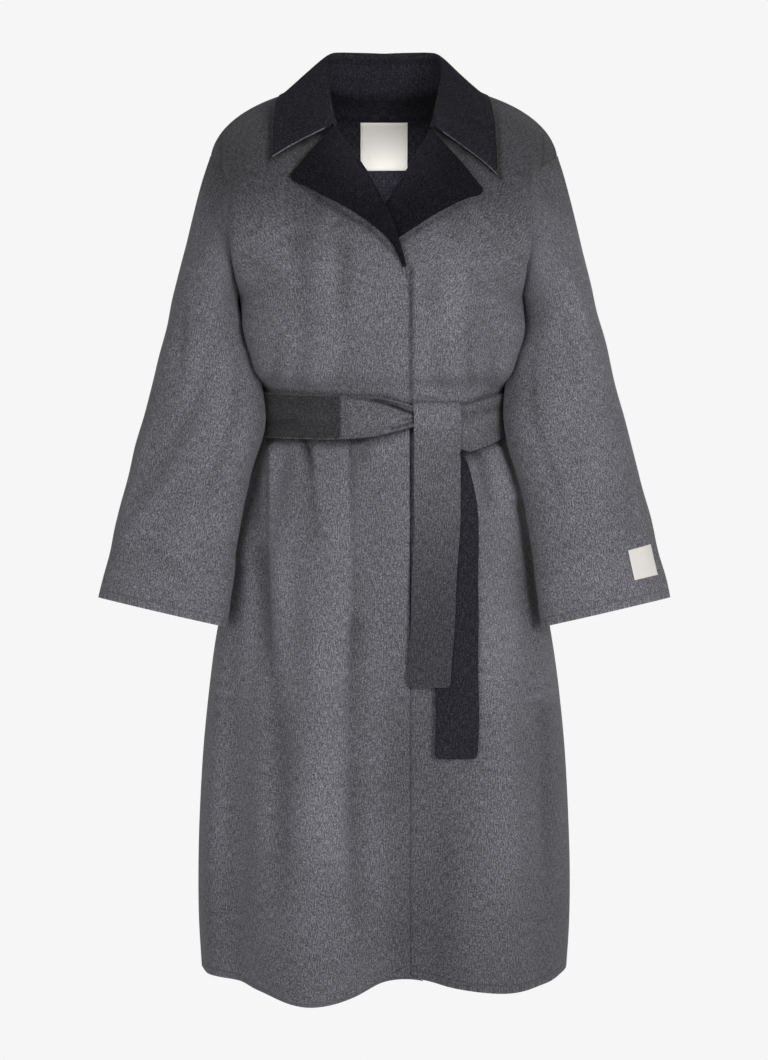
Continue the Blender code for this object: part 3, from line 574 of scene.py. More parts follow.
# draws one side of a grid in by half a seam gap
def pulledIn(points, side, gap):
    if side == "first":
        points[:, 0] += unit(points[:, 1] - points[:, 0]) * gap / 2
    if side == "bottom":
        points[0] += unit(points[1] - points[0]) * gap / 2
    if side == "top":
        points[-1] += unit(points[-2] - points[-1]) * gap / 2


# panels: back and fronts, each front cut in one with its lapel

panels = {
    "skirtLevels": [-1180, -1060, -820, -610, -525, -477, -448, -421, -398, -335],
    "chestLevels": [-300, -272, -236, -193, -148, -125, -102, -50],
    "rowStep": 5.0,
    "beltStep": 3.2,
    "frontColumns": 112,
    "backColumns": 90,
    "edgeRight": 32,
    "edgeLeft": 62,
    "neckCentre": -125,
    # armhole level, then x and z of the front edge or the roll of the lapel
    "rollRight": [(-300, 32, -300), (-275, 29, -276), (-245, 19, -228), (-215, 3, -187), (-185, -15, -152),
                  (-155, -35, -122), (-125, -57, -92), (-90, -72, -62), (-50, -80, -29)],
    "rollLeft": [(-300, 62, -300), (-275, 48, -274), (-245, 22, -228), (-215, 2, -187), (-185, -20, -152),
                 (-155, -36, -126), (-125, -57, -92), (-90, -71, -62), (-50, -80, -29)],
    "neckBack": [(-300, 0, -300), (-275, 0, -262), (-245, 0, -218), (-215, 0, -170), (-185, 0, -120),
                 (-155, 0, -72), (-125, 0, -44), (-100, -38, -42), (-75, -64, -37), (-50, -80, -29)],
    # height on the roll, then x and z of the lapel's outer edge
    "lapelRight": [(-266, 27.4, -268.5), (-256, 24.4, -258.5), (-245, 20.5, -249), (-233, 16, -240.5),
                   (-221, 10, -231.5), (-209, 3, -224), (-186, -16, -208), (-158, -47, -187), (-133, -77, -172),
                   (-115, -95, -163), (-96, -113.5, -154), (-88, -115.6, -147)],
    "lapelLeft": [(-203, -6, -232), (-189, -19, -224.5), (-172, -42, -209.5), (-153, -64, -195),
                  (-134, -92, -181.5), (-116, -106, -176), (-100, -121, -171), (-92, -122, -164)],
    "lapelColumns": 30,
    "foldColumns": 7,
    "gorgeColumns": 17,
    "foldRadius": 1.7,
    "swell": 4.0,
    "swellWidth": 60,
    "crossingSwell": (10, 50),  # x: the left lapel lies flat where the right one crosses it
    "tipAir": 0.6,
    "chestStep": 3.6,
    # columns and rows over which a panel's creases fade at its seams
    "stillSide": 8.0,
    "stillEdge": 10.0,
    "stillTop": 5.0,
    "stillEdgeShare": 0.6,
    "neckLevels": (-165, -128),
    "drawnShare": (0.8, 0.35),  # what the fold takes up: mm, and share of the lapel's width
    "shoulderTries": 600,
}
skirtLevels = np.concatenate([refine(panels["skirtLevels"][:5], panels["rowStep"])[:-1],
                              refine(panels["skirtLevels"][4:], panels["beltStep"])])
chestLevels = refine(panels["chestLevels"], panels["chestStep"])
rowLevels = np.concatenate([skirtLevels, chestLevels])


def shoulderAt(x):
    tries = np.linspace(-1, 0, panels["shoulderTries"])
    line = body(front, tries, np.full(panels["shoulderTries"], form["topLine"]))
    return float(np.interp(x, line[:, 0], tries))


# moves the points of a panel by its creases and waves, still at its seams
def creased(name, points, out):
    columns = points.shape[1]
    still = np.minimum(1, np.arange(columns) / panels["stillSide"])[None, :]
    atEdge = np.minimum(1, np.arange(columns)[::-1] / panels["stillEdge"])[None, :]
    neck = ease(*panels["neckLevels"], rowLevels)[:, None]
    still = still * (1 - (1 - atEdge) * neck)
    if name != "back":
        still = still * (1 - (1 - atEdge) * panels["stillEdgeShare"] * (1 - neck))
    still = still * np.minimum(1, np.arange(len(points))[::-1] / panels["stillTop"])[:, None]
    x, z = points[..., 0], points[..., 2]
    height = panelHeight(name, x, z) * still
    return points + out * height[..., None], hollowShade(height, "panel") * edgeShade(name, x, z)


# the panel stops short of the roll line by what the fold of the lapel takes up
def drawnBack(rolled, edges):
    along = unit(np.gradient(rolled, axis=0))
    inward = np.stack([-along[:, 1], along[:, 0]], axis=1)
    z = rolled[:, 1]
    wide = np.hypot(*(table(edges, z) - rolled).T)
    share = ease(edges[0][0] - 22, edges[0][0] + 8, z) * (1 - ease(edges[-1][0] - 4, edges[-1][0] + 8, z))
    least, widthShare = panels["drawnShare"]
    taken = np.minimum(panels["foldRadius"] + clothWall, least + wide * widthShare)
    return rolled + inward * (share * taken)[:, None]


def panelGrid(name, face, side, roll, edge, columns):
    s = np.linspace(0, 1, columns)
    rolled = table(roll, chestLevels)
    if edge:
        rolled = drawnBack(rolled, panels["lapelRight"] if side < 0 else panels["lapelLeft"])
    ends = np.concatenate([[(edge, z) for z in skirtLevels], rolled])
    if not edge:
        ends[rowLevels <= panels["neckCentre"], 0] = 0.0
    end, endLevel = place(face, -side * ends[:, 0], ends[:, 1])
    endLevel[: len(skirtLevels)] = skirtLevels
    end[-1], endLevel[-1] = -side * shoulderAt(ends[-1, 0]), form["topLine"]
    end[ends[:, 0] == 0] = 0.0
    across = np.ravel(side + (end[:, None] - side) * s)
    levels = np.ravel(rowLevels[:, None] + (endLevel - rowLevels)[:, None] * s)
    points = body(face, across, levels)
    out = bodyOut(face, across, levels)
    if face == front and side > 0:
        points = points - out * under(points, levels)[:, None]
    shape = (len(rowLevels), columns, 3)
    points, out = points.reshape(shape), out.reshape(shape)
    out[-1] = unit(out[-1] + bodyOut(-face, across[-columns:], levels[-columns:]))
    low = skirtLevels
    out[: len(low), 0] = unit(out[: len(low), 0] + bodyOut(-face, side + 0 * low, low))
    points, shade = creased(name, points, out)
    return points, out, ends, shade


# points over the front at x and z, moved out by lift, with the way out
def onFront(x, z, lift, side):
    across, level = place(front, x, z)
    point = body(front, across, level)
    out = bodyOut(front, across, level)
    if side > 0:
        point = point - out * under(point, level)[:, None]
    height = panelHeight("frontLeft" if side > 0 else "frontRight", point[:, 0], point[:, 2])
    return point + out * (np.ravel(lift) + height)[:, None], out


# numbers of the panel's rows that the lapel grows from
def lapelRows(ends, edges):
    low, high = edges[0][0], edges[-1][0]
    return [k for k in range(len(skirtLevels), len(ends)) if low <= ends[k, 1] <= high]


# the front's cloth turned back over its roll: the reverse of the cloth comes to show
def lapelGrid(side, panelPoints, panelOut, ends, edges):
    rows = lapelRows(ends, edges)
    start, n = panelPoints[rows, -1], panelOut[rows, -1]
    along = unit(np.gradient(start, axis=0))
    over = unit(np.cross(along, n))
    over = over * np.sign(np.sum(over * (start - panelPoints[rows, -4]), axis=1, keepdims=True))
    target = table(edges, ends[rows, 1])
    width = np.hypot(target[:, 0] - ends[rows, 0], target[:, 1] - ends[rows, 1])
    radius = np.minimum(panels["foldRadius"], width * 0.2)[:, None]
    points, out = [], []
    for turn in np.linspace(-90, 90, panels["foldColumns"]):
        c, s = math.cos(math.radians(turn)), math.sin(math.radians(turn))
        points.append(start + n * radius + radius * (c * over + s * n))
        out.append(-(c * over + s * n))
    for s in np.linspace(0, 1, panels["lapelColumns"])[1:]:
        x = ends[rows, 0] + (target[:, 0] - ends[rows, 0]) * s
        z = ends[rows, 1] + (target[:, 1] - ends[rows, 1]) * s
        swell = panels["swell"] * np.minimum(1, width / panels["swellWidth"]) * math.sin(math.pi * s) ** 0.8
        if side > 0:
            swell = swell * ease(*panels["crossingSwell"], -x)
        lift = 2 * radius[:, 0] * (1 - s) + panels["tipAir"] * s + swell
        flat, up = onFront(-side * x, z, lift, side)
        points.append(flat)
        out.append(-up)
    points, out = np.stack(points, axis=1), np.stack(out, axis=1)
    up = unit(np.cross(np.gradient(points, axis=1), np.gradient(points, axis=0)))
    up = up * np.sign(np.sum(up * out, axis=2, keepdims=True))
    out[:, panels["foldColumns"]:] = up[:, panels["foldColumns"]:]
    return points, out


# sleeves

sleeves = {
    # outer point, inner point, depth centre at both, half depth; upper arm down to the cuff
    "rings": [
        ((-268, -290), (-174.5, -338), -4, -4, 77),
        ((-284, -352), (-161, -384), -12, -16, 72),
        ((-302, -426), (-152.5, -456), -24, -44, 65),
        ((-320, -498), (-170, -526), -36, -58, 58),
        ((-336, -561), (-185, -598), -48, -70, 52),
        ((-351, -622), (-191, -654), -58, -80, 47),
        ((-365, -680), (-199, -716), -66, -86, 43),
    ],
    "cuffTilt": 5.5,
    "creaseGain": 1.1,
    "underarmEase": 3.0,
    "shoulderFall": (-0.36, 0.0, -0.93),
    "capRings": 26,
    "armRings": 88,
    "armholeLevels": [-300, -287, -272, -255, -236, -215, -193, -170, -148, -125, -102, -78, -50],
    "levelTurn": 15,  # degrees around the sleeve from one armhole level to the next
    "capReach": 1.4,  # how many rings the cap counts as
    "tiltFrom": (4.2, 6),
    "degree": 1.35,  # mm around for a degree
    "ringStep": 65,  # mm down for a ring
    "stillRings": 9,
    # turn (0 outermost, 90 front) and ring at the start and end, half width in mm on both sides, height
    "creasesRight": [
        (96, 0.9, 60, 3.2, 10, 16, -3),
        (50, 0.2, 62, 1.6, 14, 10, -2.5),
        (128, 1.2, 112, 3.8, 8, 14, -3),
        (84, 3.0, 44, 4.6, 15, 11, 2.5),
        (70, 4.6, 120, 5.5, 14, 14, -2.2),
        (36, 2.0, 28, 4.6, 14, 14, 2.0),
        (-60, 1.0, -96, 3.4, 12, 12, -3),
        (-110, 2.2, -70, 4.4, 12, 12, -2.5),
        (-30, 3.6, -50, 5.4, 14, 14, 2.0),
    ],
    "creasesLeft": [
        (66, -0.4, 48, 1.0, 7, 12, 3),
        (88, 0.1, 74, 1.5, 12, 9, -2.5),
        (126, 1.2, 114, 3.6, 8, 12, -2.8),
        (70, 2.6, 88, 4.4, 14, 14, 1.8),
        (40, 3.4, 56, 5.0, 12, 16, -2),
        (-64, 1.2, -92, 3.6, 12, 12, -3),
        (-112, 2.4, -78, 4.6, 12, 12, -2.5),
        (-28, 3.4, -44, 5.2, 14, 14, 2.0),
    ],
}


def sleeveRing(side, turn, station):
    rows = [(r[0][0], r[2], r[0][1], r[1][0], r[3], r[1][1], r[4]) for r in sleeves["rings"]]
    ring = smoothRows(range(len(rows)), rows, station)
    outer, inner, depth = ring[:, 0:3], ring[:, 3:6], ring[:, 6]
    turn = np.radians(np.atleast_1d(turn))
    point = (outer + inner) / 2 + (outer - inner) / 2 * np.cos(turn)[:, None]
    point[:, 1] -= depth * np.sin(turn)
    point[:, 2] += sleeves["cuffTilt"] * ease(*sleeves["tiltFrom"], station) * np.sin(turn)
    point[:, 0] *= -side
    return point


# height of a sleeve's creases and waves, by turn around and ring down
def sleeveHeight(side, turns, stations):
    signed = (turns + 180) % 360 - 180
    seed = waveSeeds["sleeveRight" if side < 0 else "sleeveLeft"]
    height = ripple(signed * sleeves["degree"], stations * sleeves["ringStep"], seed)
    for t0, s0, t1, s1, wideA, wideB, rise in sleeves["creasesRight" if side < 0 else "creasesLeft"]:
        way = (stations - s0) / (s1 - s0)
        off = ((signed - t0 - (t1 - t0) * np.clip(way, 0, 1) + 180) % 360 - 180) * sleeves["degree"]
        fade = ease(-0.25, 0.3, way) * (1 - ease(0.65, 1.25, way))
        shape = np.exp(-((off / np.where(off < 0, wideA, wideB)) ** 2))
        height = height + sleeves["creaseGain"] * rise * fade * shape
    return height


# rings from the armhole down to the cuff, with their outward directions
def sleeveGrid(side):
    down = chestLevels[::-1]
    up = chestLevels[1:-1]
    loop = np.concatenate([body(front, side + 0 * down, down), body(back, side + 0 * up, up)])
    bodyWay = np.concatenate([bodyOut(front, side + 0 * down, down), bodyOut(back, side + 0 * up, up)])
    coarse = np.array(sleeves["armholeLevels"], float)
    number, turn = np.arange(len(coarse)), sleeves["levelTurn"]
    turns = [180 - np.interp(down, coarse, number) * turn, 180 + np.interp(up, coarse, number) * turn]
    turns = np.concatenate(turns) % 360
    turns[0] = 0
    first = sleeveRing(side, turns, 0 * turns)
    chord = np.linalg.norm(first - loop, axis=1, keepdims=True)
    leave = unit(np.array(sleeves["shoulderFall"]) * [-side, 1, 1]) * chord
    arrive = unit(sleeveRing(side, turns, 0 * turns + 0.3) - first) * chord
    rings, stations = [], []
    for s in np.linspace(0, 1, sleeves["capRings"])[:-1]:
        a, b = 2 * s**3 - 3 * s**2 + 1, s**3 - 2 * s**2 + s
        rings.append(loop * a + leave * b + first * (1 - a) + arrive * (s**3 - s**2))
        stations.append(s * sleeves["capReach"] - sleeves["capReach"])
    for s in np.linspace(0, len(sleeves["rings"]) - 1, sleeves["armRings"]):
        rings.append(sleeveRing(side, turns, 0 * turns + s))
        stations.append(s)
    rings, stations = np.array(rings), np.array(stations)
    out = unit(np.cross(np.roll(rings, -1, 1) - np.roll(rings, 1, 1), np.gradient(rings, axis=0)))
    if np.mean(np.sum(out * (rings - rings.mean(axis=1, keepdims=True)), axis=-1)) < 0:
        out = -out
    turnGrid, stationGrid = np.meshgrid(turns, stations)
    height = sleeveHeight(side, turnGrid, stationGrid)
    still = ease(0, sleeves["stillRings"], np.arange(len(rings)))[:, None]
    along = unit(np.roll(loop, -1, 0) - np.roll(loop, 1, 0))
    away = unit(np.cross(along, bodyWay))
    away = away * np.sign(np.sum(away * (loop - loop.mean(axis=0)), axis=1, keepdims=True))
    valley = np.sum(bodyWay * out[0], axis=1, keepdims=True) < 0
    meet = np.where(valley, away + unit(rings[1] - rings[0]), bodyWay + out[0])
    meet = unit(meet - along * np.sum(meet * along, axis=1, keepdims=True))
    stretch = 1 / np.clip(np.sum(meet * out[0], axis=1), 0.6, 1)
    rings = rings + out * (height * still)[..., None]
    out[0] = meet * stretch[:, None]
    low = np.clip(-np.cos(np.radians(turns)), 0, 1)[:, None]
    rings[0] += [side * 0.6, 0, -0.2] + low * [side * sleeves["underarmEase"], 0, -1]
    return rings, out, hollowShade(height * still, "sleeve")


# collar: stands from the neck seam, rolls over and falls

collar = {
    # place along it, top of the roll, outer edge
    "right": [
        (0.00, (0, 72, 18), (0, 92, -64)),
        (0.22, (-44, 60, 18), (-72, 84, -60)),
        (0.42, (-70, 34, 13), (-117, 46, -51)),
        (0.56, (-76, 8, -4), (-134, 2, -44)),
        (0.70, (-71, -20, -33), (-138, -38, -58)),
        (0.85, (-65, -52, -64), (-139, -74, -90)),
        (1.00, (-60, -79, -83), (-138.7, -103, -124)),
    ],
    "left": [
        (0.00, (0, 72, 18), (0, 92, -64)),
        (0.22, (-44, 60, 18), (-72, 84, -60)),
        (0.42, (-70, 34, 12), (-117, 46, -51)),
        (0.56, (-75, 8, -8), (-134, 2, -45)),
        (0.70, (-70, -20, -38), (-138, -38, -66)),
        (0.85, (-64, -52, -64), (-139, -76, -104)),
        (1.00, (-59, -79, -86), (-141, -108, -147)),
    ],
    "roll": 5.5,
    "air": (1.3, 3.4),  # over the back and shoulders, over the lapels
    "halfColumns": 56,
    "riseRows": 14,
    "fallRows": 26,
    "gorgeColumns": 24,
    # places along half the collar at which its section is drawn, and the neck seam's places with x and z
    "sections": [0, 0.1, 0.2, 0.3, 0.38, 0.45, 0.52, 0.6, 0.68, 0.76, 0.84, 0.92, 1.0],
    "seamBack": [(0.00, 0, -44), (0.20, -37, -42.2), (0.36, -63, -37.5)],
    "seamFront": [(0.50, -50), (0.66, -73), (0.82, -96), (1.00, -120)],
    "footRise": (2.1, 0.4, 0.55, 0.85),
    "rollGrowth": (2.5, 0.12),
    "belly": (0.4, 0.25),
    "fallSpread": 1.25,
    "airFrom": (0.62, 0.85),
    "clearRounds": 4,
    "waves": (3.1, 3.0, 0.5, -0.4),
    "stillRows": (4, 16),
    # the seam of the stand: row, width, strength, and where it ends along the collar; then the dark foot
    "standSeam": (8.6, 0.8, 0.4, 0.42, 0.55),
    "footShade": (1.2, 0.5),
}


def neckSeam(side, a):
    roll = panels["rollRight"] if side < 0 else panels["rollLeft"]
    rows = [(along, back, x, z) for along, x, z in collar["seamBack"]]
    rows += [(along, front, *table(roll, level)[0]) for along, level in collar["seamFront"]]
    points, outs = [], []
    for _, face, x, z in rows:
        across, level = place(face, -side * x, z)
        points.append(body(face, across, level)[0])
        outs.append(bodyOut(face, across, level)[0])
    knots = [r[0] for r in rows]
    return smoothRows(knots, points, a), unit(smoothRows(knots, outs, a))


# moves points out so that they stay at least gap outside the panels
def clearOf(points, near, out, gap):
    shape = points.shape
    points = points.reshape(-1, 3).copy()
    for _ in range(collar["clearRounds"]):
        for k, point in enumerate(points):
            best = np.argpartition(np.sum((near - point) ** 2, axis=1), 4)[:4]
            for b in best:
                depth = np.dot(point - near[b], out[b])
                if depth < gap:
                    point = point + out[b] * (gap - depth)
            points[k] = point
    return points.reshape(shape)


def collarGrid(near, nearOut):
    coarse = np.array(collar["sections"])
    footRise, footGrowth, footFrom, footTo = collar["footRise"]
    least, growth = collar["rollGrowth"]
    bellyReach, bellyLift = collar["belly"]
    columns = []
    for side, rows in ((-1, collar["right"]), (1, collar["left"])):
        knots = [r[0] for r in rows]
        top = smoothRows(knots, [r[1] for r in rows], coarse) * [-side, 1, 1]
        edge = smoothRows(knots, [r[2] for r in rows], coarse) * [-side, 1, 1]
        seam, out = neckSeam(side, coarse)
        up = unit(np.cross(unit(np.gradient(seam, axis=0)), out))
        up = up * np.sign(up[:, 2:3] + 1e-9)
        foot = seam - out * clothWall + up * (footRise + footGrowth * ease(footFrom, footTo, coarse))[:, None]
        if side > 0:
            foot = foot - out * under(seam, seam[:, 2])[:, None]
        away = unit((edge - top) * [1, 1, 0])
        made = []
        for k in range(len(coarse)):
            stand = np.linalg.norm(top[k] - foot[k])
            roll = min(collar["roll"], least + stand * growth)
            bend = np.linalg.norm(edge[k] - top[k]) * bellyReach
            lean = away[k] * roll
            rise = bezier(foot[k], foot[k] * 0.5 + top[k] * 0.5, top[k] - lean, top[k],
                          np.linspace(0, 1, collar["riseRows"] + 1)[:-1])
            mid = edge[k] * 0.6 + top[k] * 0.4 + away[k] * bend * bellyLift
            spread = np.linspace(0, 1, collar["fallRows"]) ** collar["fallSpread"]
            fall = bezier(top[k], top[k] + lean * 2, mid, edge[k], spread)
            air = collar["air"][0] + (collar["air"][1] - collar["air"][0]) * ease(*collar["airFrom"], coarse[k])
            fall[4:] = clearOf(fall[4:], near, nearOut, clothWall + air)
            made.append(np.concatenate([rise, fall]))
        fine = np.linspace(0, 1, collar["halfColumns"])
        made = np.array(made)
        half = smoothRows(coarse, made.reshape(len(coarse), -1), fine).reshape(len(fine), -1, 3)
        seamOut = unit(smoothRows(coarse, -out, fine))
        columns.append((half, seamOut))
    (right, rightOut), (left, leftOut) = columns
    grid = np.concatenate([right[::-1], left[1:]])
    foot = np.concatenate([rightOut[::-1], leftOut[1:]])
    out = unit(np.cross(np.gradient(grid, axis=1), np.gradient(grid, axis=0)))
    if out[len(grid) // 2, -2, 1] < 0:
        out = -out
    out[:, 0] = foot
    rows, places = np.arange(grid.shape[1]), np.arange(len(grid))[:, None]
    alongStep, rowStep, gain, deepest = collar["waves"]
    bend = ripple(places * alongStep + 0 * rows, rows * rowStep + 0 * places, waveSeeds["collar"])
    stillFrom, stillTo = collar["stillRows"]
    still = (ease(collar["riseRows"] + stillFrom, collar["riseRows"] + stillTo, rows))[None, :]
    grid = grid + out * (np.maximum(bend * gain, deepest) * still)[..., None]
    return grid, out


# belt

belt = {
    "wall": 2.4,
    "air": 1.6,
    "paintedShade": 0.66,  # painted shade: the band is darker on the wearer's right
    # degrees around from the centre front (wearer's right negative), top, bottom
    "band": [(-319, -434, -493), (-304, -426, -485), (-285, -421.5, -477), (-270, -420, -477),
             (-180, -420, -477), (-90, -420, -477), (-40, -420.5, -477), (-18, -421.5, -476),
             (-2, -424, -471), (8, -430, -464), (14, -435, -460)],
    "knot": [(14, -435, -460), (20, -435, -470), (30, -435, -484), (41, -434, -493)],
    "creases": [
        (-50, -420.5, 38, -442.5, -5.5, 1.8, 3.4, -2.2),
        (-46, -418, 38, -437.5, -5.5, 2.8, 2.0, 2.2),
        (-12, -426.5, 38, -447.5, -2.5, 1.8, 2.8, -1.8),
        (2, -430, 38, -444.5, -2.5, 2.2, 1.6, 1.4),
        (8, -463, 38, -453, 1.5, 2.6, 1.8, -1.7),
        (0, -467, 38, -457.5, 1.5, 2.4, 2.4, 1.2),
        (22, -451, 38, -450, 0, 1.8, 1.8, -1.3),
        (-40, -450, 34, -450, 0, 12, 12, 1.6),
        (-150, -440, -60, -447, 2, 9, 9, 1.2),
        (-158, -462, -110, -452, 1, 4, 6, -1.2),
        (96, -446, 150, -436, 1, 5, 7, -1.2),
        (92, -470, 140, -452, 0, 8, 8, 1.4),
    ],
    # height, left and right edge
    "tailFront": [(-784, 29.2, 82.5), (-700, 33, 88), (-599, 36.8, 92), (-500, 36, 93), (-431, 36, 94)],
    "tailBack": [(-874, 63.4, 117), (-740, 63.5, 117), (-600, 64, 117), (-555, 61, 114), (-525, 55, 108),
                 (-498, 48, 100)],
    "frontLift": 7.5,
    "backLift": 3.5,
    "cornerRadius": 7.0,
    "cornerRows": 7,
    "bandColumns": 400,
    "knotColumns": 24,
    "acrossRows": 34,
    "tailColumns": 17,
    "tailStep": 5,
    "seamTurn": 0.15,  # degrees between the band and the knot
    "creasesAhead": (0, -40),  # y: the creases show in front only
    "wave": 0.25,
    "edgeRound": 0.5,
    "deepest": -1.5,
    "paintedShadeFront": (-51, -57),  # x: where the painted shade starts in front, sharply, and at the back, softly
    "paintedShadeBack": (-70, -150),
    # tail's sway to the sides (mm, and mm down for a turn), then its bow and ripple
    "sway": ((0.8, 47, 0), (0.5, 19, 1)),
    "bow": (0.9, 0.35, 31),
    # height at which the tails' straight part ends, then height and way back of the rows over the belt
    "frontTop": (-436, [(-434, 0.5), (-431.4, 1.9), (-430.2, 4.0)]),
    "backTop": (-498, []),
}


def around(degrees, z):
    degrees = np.atleast_1d(np.asarray(degrees, float))
    z = np.atleast_1d(np.asarray(z, float)) + 0 * degrees
    d = np.where(degrees < -270, degrees + 360, degrees)
    ahead = np.clip(d / 90, -1, 1)
    behind = np.clip(-(d + 180) / 90, -1, 1)
    pick = (d < -90)[:, None]
    return (np.where(pick, body(back, behind, z), body(front, ahead, z)),
            np.where(pick, bodyOut(back, behind, z), bodyOut(front, ahead, z)))


def beltGrid(rows, degrees):
    edges = table(rows, degrees)
    points, out, heights = [], [], []
    for s in np.linspace(0, 1, belt["acrossRows"]):
        point, way = around(degrees, edges[:, 1] + (edges[:, 0] - edges[:, 1]) * s)
        level = unit(way * [1, 1, 0])
        ahead = ease(*belt["creasesAhead"], point[:, 1])
        height = creaseHeight(belt["creases"], point[:, 0], point[:, 2], creaseEnds["belt"]) * ahead
        waves = ripple(point[:, 0] + point[:, 1], point[:, 2], waveSeeds["belt"])
        height = height + belt["wave"] * waves - belt["edgeRound"] * (2 * s - 1) ** 4
        lift = belt["air"] + belt["wall"] + np.maximum(height, belt["deepest"])
        points.append(point + level * lift[:, None])
        out.append(level)
        heights.append(height)
    points = np.array(points)
    x, inFront = points[..., 0], points[..., 1] < 0
    # painted shade over the band on the wearer's right
    turned = np.where(inFront, ease(*belt["paintedShadeFront"], x), ease(*belt["paintedShadeBack"], x))
    shade = hollowShade(np.array(heights), "belt") * (1 - belt["paintedShade"] * turned)
    return points, np.array(out), shade * np.where(inFront, lineShade("belt", x, points[..., 2]), 1)


# a hanging end with round corners; fold has the height and way back of the rows over its top
def tailGrid(rows, lift, top, fold):
    low, columns = rows[0][0], belt["tailColumns"]
    r = belt["cornerRadius"]
    bow, wave, length = belt["bow"]
    heights = [low + r * (1 - math.cos(a)) for a in np.linspace(0, math.pi / 2, belt["cornerRows"])]
    heights += list(np.linspace(low + r, top, round((top - low - r) / belt["tailStep"])))[1:]
    path = [(z, lift) for z in heights] + [(z, lift - way) for z, way in fold]
    points, out = [], []
    for z, away in path:
        left, right = table(rows, z)[0]
        inset = r - math.sqrt(max(0, r * r - max(0, low + r - z) ** 2))
        x = np.linspace(left + inset, right - inset, columns)
        for size, turn, start in belt["sway"]:
            x = x + size * math.sin(z / turn + start)
        share = np.linspace(-1, 1, columns)
        bowed = bow * (1 - share**2) + wave * np.sin(z / length + share * 2)
        point, way = onFront(x, np.full(columns, float(z)), away + bowed, -1)
        points.append(point)
        out.append(way)
    points, out = np.array(points), np.array(out)
    up = unit(np.cross(np.gradient(points, axis=1), np.gradient(points, axis=0)))
    return points, up * np.sign(np.sum(up * np.array([0, -1, 0]), axis=2, keepdims=True))


# finishes

finishes = {
    # fibres from dark to light
    "grey": [(0.060, 0.058, 0.067), (0.126, 0.123, 0.140), (0.275, 0.269, 0.300)],
    "charcoal": [(0.0088, 0.0083, 0.0112), (0.0160, 0.0152, 0.0205), (0.042, 0.040, 0.051)],
    "label": {"thread": (0.78, 0.75, 0.71), "gap": (0.67, 0.64, 0.60)},
    # painted shade over the shoulders, where the cloth turns up away from the light: from, to, factor
    "shoulderShade": (-0.275, -0.140, 0.44),
    "sleeveShoulderShade": (-0.235, -0.100, 0.46),
    "shoulderShadeWobble": 0.045,
    "trough": {"x": 0.05, "inner": 0.02, "outer": 0.08, "from": -0.66, "to": -0.92, "shade": 0.14,
               "side": (-0.06, 0.02, 0.17), "hem": (-1.16, -0.96, 0.87, 1.0)},
    # hem: metres up from the edge, painted shade of the pressed line, painted highlight of the rolled edge, and
    # depth of the line
    "hemStitch": 0.0105,
    "hemLine": 0.86,
    "hemEdge": 1.12,
    "hemDepth": 1.6,
    # stretch along the nap, scale, detail, roughness, weight
    "fine": (0.7, 1150, 2.0, 0.6, 0.32),
    "coarse": (0.55, 720, 2.0, 0.55, 0.44),
    "strand": (0.14, 720, 1.0, 0.5, 0.24),
    "contrast": (0.38, 0.62),
    "cloud": (9.0, 0.6, 34, 0.4, 0.36, 0.64),  # scale and weight of slow and quick clouds, then the range
    "cloudShade": (0.95, 1.05),
    "bumpReach": 0.0012,
    "roughness": 0.92,
    "sheenRoughness": 0.5,
    # specular and sheen
    "soft": (0.18, 0.12),
    "dull": (0.05, 0.03),
    "threads": {"scale": 520, "distortion": 1.2, "slub": 900, "slubStretch": 0.15, "bump": 0.25,
                "bumpReach": 0.0003, "roughness": 0.55, "sheen": 0.1},
}


def newGroup(name, inputs, outputs):
    group = bpy.data.node_groups.new(name, "ShaderNodeTree")
    for label, kind, value in inputs:
        socket = group.interface.new_socket(name=label, in_out="INPUT", socket_type=kind)
        if value is not None:
            socket.default_value = value
    for label, kind in outputs:
        group.interface.new_socket(name=label, in_out="OUTPUT", socket_type=kind)
    return group, group.nodes.new("NodeGroupInput"), group.nodes.new("NodeGroupOutput")


def mathNode(tree, kind, a, b=None):
    node = tree.nodes.new("ShaderNodeMath")
    node.operation = kind
    for socket, value in zip(node.inputs, (a, b)):
        if value is None:
            continue
        if isinstance(value, (int, float)):
            socket.default_value = value
        else:
            tree.links.new(value, socket)
    return node.outputs[0]


def noiseNode(tree, vector, scale, detail=2.0, roughness=0.55):
    node = tree.nodes.new("ShaderNodeTexNoise")
    node.inputs["Scale"].default_value = scale
    node.inputs["Detail"].default_value = detail
    node.inputs["Roughness"].default_value = roughness
    tree.links.new(vector, node.inputs["Vector"])
    return node.outputs["Fac"]


def rangeNode(tree, value, low, high, toLow=0.0, toHigh=1.0):
    node = tree.nodes.new("ShaderNodeMapRange")
    node.interpolation_type = "SMOOTHSTEP"
    for label, number in (("From Min", low), ("From Max", high), ("To Min", toLow), ("To Max", toHigh)):
        node.inputs[label].default_value = number
    tree.links.new(value, node.inputs["Value"])
    return node.outputs["Result"]


def stretched(tree, vector, scale):
    node = tree.nodes.new("ShaderNodeMapping")
    node.inputs["Scale"].default_value = scale
    tree.links.new(vector, node.inputs["Vector"])
    return node.outputs["Vector"]


